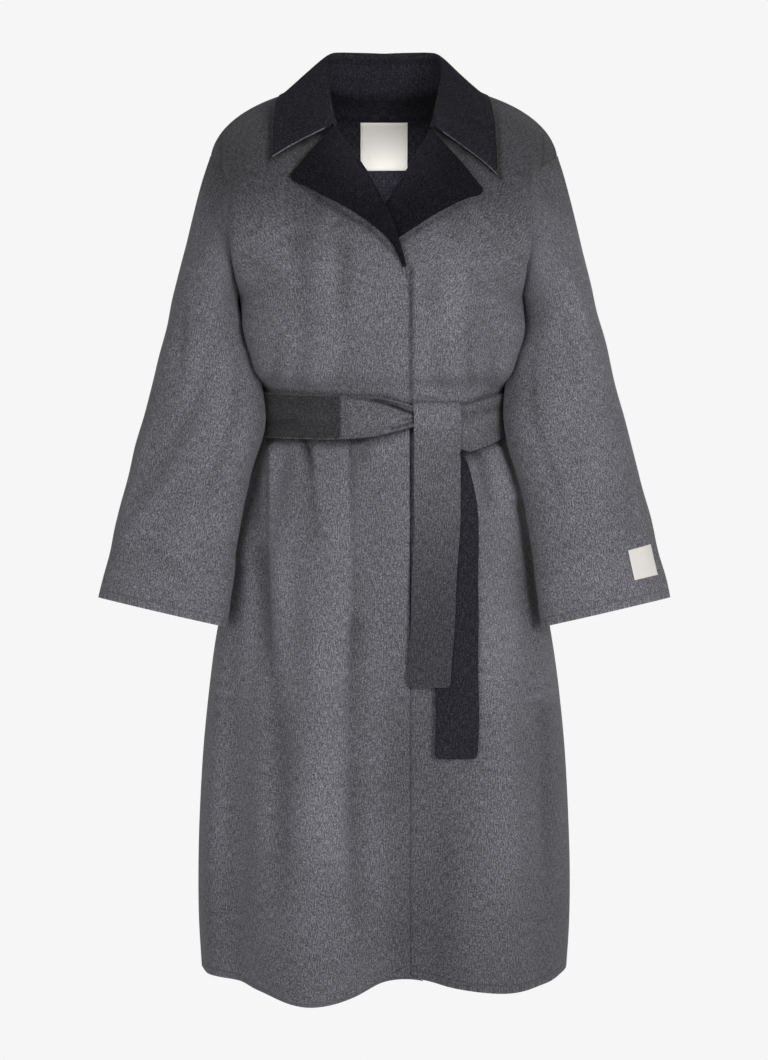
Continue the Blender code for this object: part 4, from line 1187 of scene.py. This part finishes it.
# brushed wool: fine light and dark fibres combed one way, with slow clouds where the nap turns
def makeNapGroup():
    group, source, target = newGroup(
        "combedNap", [("Cloth", "NodeSocketVector", None), ("Place", "NodeSocketVector", None)],
        [("Fibre", "NodeSocketFloat"), ("Cloud", "NodeSocketFloat"), ("Height", "NodeSocketFloat")])
    cloth = source.outputs["Cloth"]
    mixed = None
    for kind in ("fine", "coarse", "strand"):
        stretch, scale, detail, roughness, weight = finishes[kind]
        noise = noiseNode(group, stretched(group, cloth, (1.0, stretch, 1.0)), scale, detail, roughness)
        noise = mathNode(group, "MULTIPLY", noise, weight)
        mixed = mathNode(group, "ADD", mixed, noise) if mixed else noise
    fibre = rangeNode(group, mixed, *finishes["contrast"])
    slow, slowWeight, quick, quickWeight, low, high = finishes["cloud"]
    cloud = noiseNode(group, source.outputs["Place"], slow, 2.0, 0.5)
    drift = noiseNode(group, stretched(group, source.outputs["Place"], (1.0, 1.0, 0.4)), quick, 2.0, 0.5)
    cloud = mathNode(group, "MULTIPLY", cloud, slowWeight)
    cloud = mathNode(group, "ADD", cloud, mathNode(group, "MULTIPLY", drift, quickWeight))
    group.links.new(fibre, target.inputs["Fibre"])
    group.links.new(rangeNode(group, cloud, low, high), target.inputs["Cloud"])
    group.links.new(mixed, target.inputs["Height"])
    return group


# a pressed line at one distance from the edge, and the soft roll of the hem under it: where painted shade and a
# painted highlight go
def makeStitchGroup():
    group, source, target = newGroup(
        "hemLine",
        [("Cloth", "NodeSocketVector", None), ("Distance", "NodeSocketFloat", finishes["hemStitch"])],
        [("Line", "NodeSocketFloat"), ("Edge", "NodeSocketFloat")])
    split = group.nodes.new("ShaderNodeSeparateXYZ")
    group.links.new(source.outputs["Cloth"], split.inputs[0])
    away = mathNode(group, "SUBTRACT", split.outputs["Y"], source.outputs["Distance"])
    away = mathNode(group, "ABSOLUTE", away)
    group.links.new(rangeNode(group, away, 0.0, 0.0017, 1.0, 0.0), target.inputs["Line"])
    group.links.new(rangeNode(group, split.outputs["Y"], 0.0, 0.004, 1.0, 0.0), target.inputs["Edge"])
    return group


napGroup = makeNapGroup()
stitchGroup = makeStitchGroup()


def colourRamp(tree, value, colours):
    ramp = tree.nodes.new("ShaderNodeValToRGB")
    ramp.color_ramp.elements[0].position = 0.0
    ramp.color_ramp.elements[1].position = 1.0
    middle = ramp.color_ramp.elements.new(0.5)
    for element, colour in zip((ramp.color_ramp.elements[0], middle, ramp.color_ramp.elements[2]), colours):
        element.color = (*colour, 1)
    tree.links.new(value, ramp.inputs["Fac"])
    return ramp.outputs["Color"]


def scaledColour(tree, colour, factor):
    node = tree.nodes.new("ShaderNodeVectorMath")
    node.operation = "SCALE"
    tree.links.new(colour, node.inputs[0])
    tree.links.new(factor, node.inputs["Scale"])
    return node.outputs["Vector"]


# patches: axis, from, to, factor at from and to: broad changes of tone along one axis; those that are painted
# light and shade say so where they are used. trough: painted shade in the hollow low on the front, where less
# light falls, over its lower right side and along the hem. depth scales the whole cloth's colour
def woolMaterial(name, colours, clothMap=True, hem=True, shoulderShade=None, patches=(), trough=None, bump=0.5,
                 depth=1.0, gloss=finishes["soft"]):
    material = bpy.data.materials.new(name)
    material.use_nodes = True
    tree = material.node_tree
    shader = tree.nodes["Principled BSDF"]
    place = tree.nodes.new("ShaderNodeTexCoord").outputs["Object"]
    cloth = place
    if clothMap:
        mapNode = tree.nodes.new("ShaderNodeUVMap")
        mapNode.uv_map = "clothMap"
        cloth = mapNode.outputs["UV"]
    nap = tree.nodes.new("ShaderNodeGroup")
    nap.node_tree = napGroup
    tree.links.new(cloth, nap.inputs["Cloth"])
    tree.links.new(place, nap.inputs["Place"])
    colour = colourRamp(tree, nap.outputs["Fibre"], colours)
    darkest, lightest = finishes["cloudShade"]
    factor = rangeNode(tree, nap.outputs["Cloud"], 0.0, 1.0, darkest * depth, lightest * depth)
    split = tree.nodes.new("ShaderNodeSeparateXYZ")
    tree.links.new(place, split.inputs[0])
    # painted shade over the shoulders, below a height that wavers with the clouds
    if shoulderShade:
        wobble = mathNode(tree, "SUBTRACT", nap.outputs["Cloud"], 0.5)
        wobble = mathNode(tree, "MULTIPLY", wobble, finishes["shoulderShadeWobble"])
        height = mathNode(tree, "ADD", split.outputs["Z"], wobble)
        factor = mathNode(tree, "MULTIPLY", factor, rangeNode(tree, height, shoulderShade[0], shoulderShade[1], 1.0, shoulderShade[2]))
    # painted shade of folds, edges and the belt, with painted light beside the sleeves and the collar's dark
    # seam lines, from the foldShade attribute
    folds = tree.nodes.new("ShaderNodeAttribute")
    folds.attribute_name = "foldShade"
    factor = mathNode(tree, "MULTIPLY", factor, folds.outputs["Fac"])
    for axis, *reach in patches:
        factor = mathNode(tree, "MULTIPLY", factor, rangeNode(tree, split.outputs[axis], *reach))
    if trough:
        factor = mathNode(tree, "MULTIPLY", factor, rangeNode(tree, split.outputs["Z"], *trough["hem"]))
        middle = mathNode(tree, "ABSOLUTE", mathNode(tree, "SUBTRACT", split.outputs["X"], trough["x"]))
        middle = rangeNode(tree, middle, trough["inner"], trough["outer"], trough["shade"], 0.0)
        start, end, strength = trough["side"]
        side = rangeNode(tree, split.outputs["X"], start, end, 0.0, strength)
        middle = mathNode(tree, "ADD", middle, side)
        low = rangeNode(tree, split.outputs["Z"], trough["from"], trough["to"], 0.0, 1.0)
        hollow = mathNode(tree, "SUBTRACT", 1.0, mathNode(tree, "MULTIPLY", middle, low))
        factor = mathNode(tree, "MULTIPLY", factor, hollow)
    height = nap.outputs["Height"]
    if hem:
        line = tree.nodes.new("ShaderNodeGroup")
        line.node_tree = stitchGroup
        line.inputs["Distance"].default_value = finishes["hemStitch"]
        tree.links.new(cloth, line.inputs["Cloth"])
        # painted shade in the pressed line, painted highlight on the rolled edge
        for label, tone in (("Line", finishes["hemLine"]), ("Edge", finishes["hemEdge"])):
            change = rangeNode(tree, line.outputs[label], 0.0, 1.0, 1.0, tone)
            factor = mathNode(tree, "MULTIPLY", factor, change)
        pressed = mathNode(tree, "MULTIPLY", line.outputs["Line"], finishes["hemDepth"])
        height = mathNode(tree, "SUBTRACT", height, pressed)
    tree.links.new(scaledColour(tree, colour, factor), shader.inputs["Base Color"])
    bumpNode = tree.nodes.new("ShaderNodeBump")
    bumpNode.inputs["Strength"].default_value = bump
    bumpNode.inputs["Distance"].default_value = finishes["bumpReach"]
    tree.links.new(height, bumpNode.inputs["Height"])
    tree.links.new(bumpNode.outputs["Normal"], shader.inputs["Normal"])
    shader.inputs["Roughness"].default_value = finishes["roughness"]
    shader.inputs["Specular IOR Level"].default_value = gloss[0]
    shader.inputs["Sheen Weight"].default_value = gloss[1]
    shader.inputs["Sheen Roughness"].default_value = finishes["sheenRoughness"]
    return material


# satin label cloth: fine close threads across
def labelMaterial():
    threads = finishes["threads"]
    material = bpy.data.materials.new("labelSatin")
    material.use_nodes = True
    tree = material.node_tree
    shader = tree.nodes["Principled BSDF"]
    mapNode = tree.nodes.new("ShaderNodeUVMap")
    mapNode.uv_map = "clothMap"
    wave = tree.nodes.new("ShaderNodeTexWave")
    wave.wave_type = "BANDS"
    wave.bands_direction = "Y"
    wave.inputs["Scale"].default_value = threads["scale"]
    wave.inputs["Distortion"].default_value = threads["distortion"]
    tree.links.new(mapNode.outputs["UV"], wave.inputs["Vector"])
    slub = stretched(tree, mapNode.outputs["UV"], (threads["slubStretch"], 1.0, 1.0))
    slub = noiseNode(tree, slub, threads["slub"])
    mixed = mathNode(tree, "ADD", mathNode(tree, "MULTIPLY", wave.outputs["Fac"], 0.5),
                     mathNode(tree, "MULTIPLY", slub, 0.5))
    gap, thread = finishes["label"]["gap"], finishes["label"]["thread"]
    ramp = colourRamp(tree, mixed, [gap, thread, thread])
    tree.links.new(ramp, shader.inputs["Base Color"])
    bumpNode = tree.nodes.new("ShaderNodeBump")
    bumpNode.inputs["Strength"].default_value = threads["bump"]
    bumpNode.inputs["Distance"].default_value = threads["bumpReach"]
    tree.links.new(mixed, bumpNode.inputs["Height"])
    tree.links.new(bumpNode.outputs["Normal"], shader.inputs["Normal"])
    shader.inputs["Roughness"].default_value = threads["roughness"]
    shader.inputs["Sheen Weight"].default_value = threads["sheen"]
    return material


greyWool = woolMaterial("greyWool", finishes["grey"], shoulderShade=finishes["shoulderShade"], trough=finishes["trough"])
sleeveWool = woolMaterial("sleeveWool", finishes["grey"], shoulderShade=finishes["sleeveShoulderShade"])
dark = {"hem": False, "gloss": finishes["dull"]}
charcoalWool = woolMaterial("charcoalWool", finishes["charcoal"], depth=1.25, **dark)
# painted shade: the inside of the back is darker below the neck
innerWool = woolMaterial("innerWool", finishes["charcoal"], patches=[("Z", -0.16, -0.11, 0.85, 0.95)], **dark)
lapelWool = woolMaterial("lapelWool", finishes["charcoal"], depth=0.46, **dark)
# painted light: the collar's back, seen inside the neck, is made lighter
collarWool = woolMaterial("collarWool", finishes["charcoal"], patches=[("Y", 0.02, 0.05, 1.0, 1.3)], **dark)
feltedEdge = woolMaterial("feltedEdge", finishes["grey"], clothMap=False, hem=False, bump=0.3)
beltWool = woolMaterial("beltWool", finishes["grey"], hem=False, patches=[("X", 0.085, 0.10, 0.76, 0.83)])
# the front tail darkens towards its lower end; the strip at its top is a painted highlight
tailPatches = [("Z", -0.72, -0.45, 0.36, 0.86), ("Z", -0.468, -0.455, 1.0, 1.18)]
tailWool = woolMaterial("tailWool", finishes["grey"], patches=tailPatches)
satin = labelMaterial()
print("finishes made")


# the pieces


def declare(piece, nodes):
    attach(piece, "root")
    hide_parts(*nodes)


# lengths on a sleeve: around, and up from the cuff
def fromCuff(rings):
    lengths = clothLengths(rings)
    lengths[..., 1] = lengths[-1:, :, 1] - lengths[..., 1]
    return lengths


# sleeves first: their armhole rims turn the ends of the panels' walls
sleeveParts = {side: sleeveGrid(side) for side in (-1, 1)}
count = len(chestLevels)
for side, name in ((-1, "sleeveRight"), (1, "sleeveLeft")):
    rings, out, shade = sleeveParts[side]
    points = rings.copy()
    shade = np.concatenate([shade, shade[:, :1]], axis=1)
    pulledIn(points, "bottom", seamGap)
    points = np.concatenate([points, points[:, :1]], axis=1)
    out = np.concatenate([out, out[:, :1]], axis=1)
    piece = clothPiece(name, [(points, out, fromCuff(points), shade)], clothWall,
                       [sleeveWool, charcoalWool, feltedEdge])
    declare(piece, ["sleeve_right" if side < 0 else "sleeve_left"])


def meetSleeve(out, side, face):
    turned = sleeveParts[side][1][0]
    if face == front:
        out[-count:, 0] = turned[:count][::-1]
    else:
        out[-count:, 0] = turned[np.r_[count - 1:2 * count - 2, 0]]


# goes on from the panel's edge, so that the grain runs on over the fold
def lapelLengths(points, panelMap, rows):
    away = clothLengths(points)[..., 0]
    return np.stack([-away, panelMap[rows, -1, 1][:, None] + 0 * away], axis=-1)


near, nearOut = [], []


# every second point of a panel, for the collar to stay clear of
def keepNear(points, out):
    near.append(points[::2, ::2].reshape(-1, 3))
    nearOut.append(out[::2, ::2].reshape(-1, 3))


for side, name in ((-1, "frontRight"), (1, "frontLeft")):
    right = side < 0
    roll = panels["rollRight"] if right else panels["rollLeft"]
    edges = panels["lapelRight"] if right else panels["lapelLeft"]
    edge = panels["edgeRight"] if right else panels["edgeLeft"]
    points, out, ends, shade = panelGrid(name, front, side, roll, edge, panels["frontColumns"])
    meetSleeve(out, side, front)
    keepNear(points, out)
    lapel, lapelOut = lapelGrid(side, points, out, ends, edges)
    rows = lapelRows(ends, edges)
    keepNear(lapel, -lapelOut)
    panelMap = clothLengths(points, fromLast=True)
    lapelMap = lapelLengths(lapel, panelMap, rows)
    pulledIn(points, "first", seamGap)
    pulledIn(points, "top", seamGap)
    sewn = seamSpots(points.shape, ["top", "last"], lastFrom=rows[-1] + 1)
    gorge = points[..., 0].size + (lapel.shape[0] - 1) * lapel.shape[1]
    sewn += list(range(gorge, gorge + panels["gorgeColumns"]))
    piece = clothPiece(name, [(points, out, panelMap, shade), (lapel, lapelOut, lapelMap, 1.0)], clothWall,
                       [greyWool, lapelWool, feltedEdge], sewn=sewn)
    nodes = ["front_right", "lapel_right"] if right else ["front_left", "lapel_left"]
    declare(piece, nodes)

halves, sewn = [], []
for side in (-1, 1):
    points, out, ends, shade = panelGrid("back", back, side, panels["neckBack"], 0.0, panels["backColumns"])
    meetSleeve(out, side, back)
    keepNear(points, out)
    backMap = clothLengths(points, fromLast=True)
    pulledIn(points, "first", seamGap)
    pulledIn(points, "top", seamGap)
    order = slice(None, None, -side)
    halves.append((points[:, order], out[:, order], backMap[:, order], shade[:, order]))
    start = points[..., 0].size if side > 0 else 0
    sewn += seamSpots(points.shape, ["top", "last" if side < 0 else "first"], start=start)
piece = clothPiece("backPanel", halves, clothWall, [greyWool, innerWool, feltedEdge], sewn=sewn)
declare(piece, ["back"])

points, out = collarGrid(np.concatenate(near), np.concatenate(nearOut))
collarMap = clothLengths(points.transpose(1, 0, 2)).transpose(1, 0, 2)
alongCollar = np.abs(np.linspace(-1, 1, points.shape[0]))[:, None]
seamRow, seamWidth, seamShade, seamFrom, seamTo = collar["standSeam"]
footWidth, footShade = collar["footShade"]
collarRows = np.arange(points.shape[1])
standLine = np.exp(-(((collarRows - seamRow) / seamWidth) ** 2))[None, :]
shade = 1 - seamShade * standLine * (1 - ease(seamFrom, seamTo, alongCollar))
shade = shade * (1 - footShade * np.exp(-(collarRows / footWidth) ** 2))[None, :]
gorge = list(range(collar["gorgeColumns"]))
gorge += [points[..., 0].size - points.shape[1] + k for k in gorge]
piece = clothPiece("notchCollar", [(points, out, collarMap, shade)], clothWall,
                   [collarWool, greyWool, feltedEdge],
                   sewn=seamSpots(points.shape, ["first"]) + gorge, sewnMaterial=0)
declare(piece, ["collar"])

degrees = np.linspace(belt["band"][0][0], belt["band"][-1][0], belt["bandColumns"])
points, out, shade = beltGrid(belt["band"], degrees)
piece = clothPiece("beltBand", [(points, out, clothLengths(points), shade)], belt["wall"],
                   [beltWool, charcoalWool, feltedEdge])
declare(piece, ["belt_band"])

degrees = np.linspace(belt["knot"][0][0] + belt["seamTurn"], belt["knot"][-1][0], belt["knotColumns"])
points, out, shade = beltGrid(belt["knot"], degrees)
piece = clothPiece("beltKnot", [(points, out, clothLengths(points), shade)], belt["wall"],
                   [beltWool, charcoalWool, feltedEdge])
declare(piece, ["belt_knot"])

points, out = tailGrid(belt["tailFront"], belt["frontLift"], *belt["frontTop"])
piece = clothPiece("beltTailFront", [(points, out, clothLengths(points), 1.0)], belt["wall"],
                   [tailWool, charcoalWool, feltedEdge])
declare(piece, ["belt_tail_front"])

points, out = tailGrid(belt["tailBack"], belt["backLift"], *belt["backTop"])
piece = clothPiece("beltTailBack", [(points, out, clothLengths(points), 1.0)], belt["wall"],
                   [charcoalWool, greyWool, feltedEdge])
declare(piece, ["belt_tail_back"])


# labels, both bare

labels = {
    "wall": 0.8,
    "cells": 14,
    "rim": 0.25,
    "neck": {"halfWidth": 31, "top": -69, "bottom": -131, "lift": 1.0, "bow": 0.7},
    "sleeve": {"turn": (61, 29), "along": (4.78, 5.46), "lift": 0.5},  # degrees around, rings down
}
cells = labels["cells"]
spread = np.linspace(-1, 1, cells)
neckPoints, neckOut = [], []
for z in np.linspace(labels["neck"]["bottom"], labels["neck"]["top"], cells):
    across, level = place(back, spread * labels["neck"]["halfWidth"], np.full(cells, z))
    out = bodyOut(back, across, level)
    point = body(back, across, level)
    height = panelHeight("back", point[:, 0], point[:, 2]) - labels["neck"]["bow"] * (1 - spread**2)
    neckPoints.append(point + out * (height - clothWall - labels["neck"]["lift"] - labels["wall"])[:, None])
    neckOut.append(-out)
points, out = np.array(neckPoints), np.array(neckOut)
piece = clothPiece("neckLabel", [(points, out, clothLengths(points), 1.0)], labels["wall"], [satin] * 3,
                   rim=labels["rim"], segments=1)
declare(piece, ["neck_label"])

labelPoints, labelOut = [], []
for turn in np.linspace(*labels["sleeve"]["turn"], cells):
    stations = np.linspace(*labels["sleeve"]["along"], cells)
    turns = np.full(cells, turn)
    point = sleeveRing(1, turns, stations)
    side = sleeveRing(1, turns + 1, stations) - sleeveRing(1, turns - 1, stations)
    down = sleeveRing(1, turns, stations + 0.02) - sleeveRing(1, turns, stations - 0.02)
    out = unit(np.cross(side, down))
    out = out * np.sign(np.sum(out * (point - sleeveRing(1, turns + 180, stations)), axis=1, keepdims=True))
    lift = labels["sleeve"]["lift"] + labels["wall"] + sleeveHeight(1, turns, stations)
    labelPoints.append(point + out * lift[:, None])
    labelOut.append(out)
points, out = np.array(labelPoints), np.array(labelOut)
piece = clothPiece("sleeveLabel", [(points, out, clothLengths(points), 1.0)], labels["wall"], [satin] * 3,
                   rim=labels["rim"], segments=1)
declare(piece, ["sleeve_label"])


# floor, light and camera

stage = {
    "floor": -1.62,
    "floorReach": 6,
    "ground": 0.922,
    "paper": 0.8,
    "ambient": 0.28,
    # place, size, watts
    "lights": {
        "key": ((1.8, -2.8, 0.2), 1.2, 57),
        "fill": ((-2.0, -2.9, -0.4), 1.8, 29),
        "behind": ((0.6, 3.2, 0.6), 2.2, 34),
    },
    "aim": (0, 0, -0.6),
    "neckSpot": {"place": (0, -1.5, 0.14), "aim": (0, 0.08, -0.135), "cone": 4.2, "watts": 180.0,
                 "blend": 0.5, "radius": 0.05},
}


# one strength for camera rays, another for the light itself
def byRay(tree, seen, other):
    path = tree.nodes.new("ShaderNodeLightPath")
    mix = tree.nodes.new("ShaderNodeMixShader")
    tree.links.new(path.outputs["Is Camera Ray"], mix.inputs[0])
    tree.links.new(other, mix.inputs[1])
    tree.links.new(seen, mix.inputs[2])
    return mix.outputs[0]


def aimAt(lampObject, target):
    way = mathutils.Vector(target) - lampObject.location
    lampObject.rotation_euler = way.to_track_quat("-Z", "Y").to_euler()
    bpy.context.collection.objects.link(lampObject)


bm = bmesh.new()
bmesh.ops.create_grid(bm, x_segments=1, y_segments=1, size=stage["floorReach"])
for v in bm.verts:
    v.co.z = stage["floor"]
floorMesh = bpy.data.meshes.new("floor")
bm.to_mesh(floorMesh)
bm.free()
floor = bpy.data.objects.new("floor", floorMesh)
bpy.context.collection.objects.link(floor)
paper = bpy.data.materials.new("paper")
paper.use_nodes = True
tree = paper.node_tree
tree.nodes["Principled BSDF"].inputs["Base Color"].default_value = (stage["paper"],) * 3 + (1,)
glow = tree.nodes.new("ShaderNodeEmission")
glow.inputs["Color"].default_value = (stage["ground"],) * 3 + (1,)
glow.inputs["Strength"].default_value = 1.0
mixed = byRay(tree, glow.outputs[0], tree.nodes["Principled BSDF"].outputs[0])
tree.links.new(mixed, tree.nodes["Material Output"].inputs["Surface"])
floorMesh.materials.append(paper)

world = bpy.data.worlds.new("studio")
world.use_nodes = True
bpy.context.scene.world = world
tree = world.node_tree
base = tree.nodes["Background"]
base.inputs["Color"].default_value = (1, 1, 1, 1)
base.inputs["Strength"].default_value = stage["ambient"]
seen = tree.nodes.new("ShaderNodeBackground")
seen.inputs["Color"].default_value = (stage["ground"],) * 3 + (1,)
seen.inputs["Strength"].default_value = 1.0
tree.links.new(byRay(tree, seen.outputs[0], base.outputs[0]), tree.nodes["World Output"].inputs["Surface"])

neckLamp = bpy.data.lights.new("neckSpot", "SPOT")
neckLamp.energy = stage["neckSpot"]["watts"]
neckLamp.spot_size = math.radians(stage["neckSpot"]["cone"])
neckLamp.spot_blend = stage["neckSpot"]["blend"]
neckLamp.shadow_soft_size = stage["neckSpot"]["radius"]
neckSpot = bpy.data.objects.new("neckSpot", neckLamp)
neckSpot.location = stage["neckSpot"]["place"]
aimAt(neckSpot, stage["neckSpot"]["aim"])
for name, (where, size, watts) in stage["lights"].items():
    lamp = bpy.data.lights.new(name, "AREA")
    lamp.shape = "SQUARE"
    lamp.size = size
    lamp.energy = watts
    lampObject = bpy.data.objects.new(name, lamp)
    lampObject.location = where
    aimAt(lampObject, stage["aim"])
print("floor and lights made")

# metres; the lens is the photo's: pixels of focal length at the form's scale, over the picture's width
view = {"distance": 3.2, "height": -0.3, "drop": 0.3, "sensor": 36, "lensPixels": 3214 / 1.3, "width": 768}
cameraData = bpy.data.cameras.new("camera")
cameraData.sensor_width = view["sensor"]
cameraData.sensor_fit = "HORIZONTAL"
cameraData.lens = view["sensor"] * view["lensPixels"] / view["width"]
camera = bpy.data.objects.new("camera", cameraData)
camera.location = (0, -view["distance"], view["height"])
camera.rotation_euler = (math.radians(90) - math.atan2(view["drop"], view["distance"]), 0, 0)
bpy.context.collection.objects.link(camera)
bpy.context.scene.camera = camera
bpy.context.scene.view_settings.view_transform = "Standard"
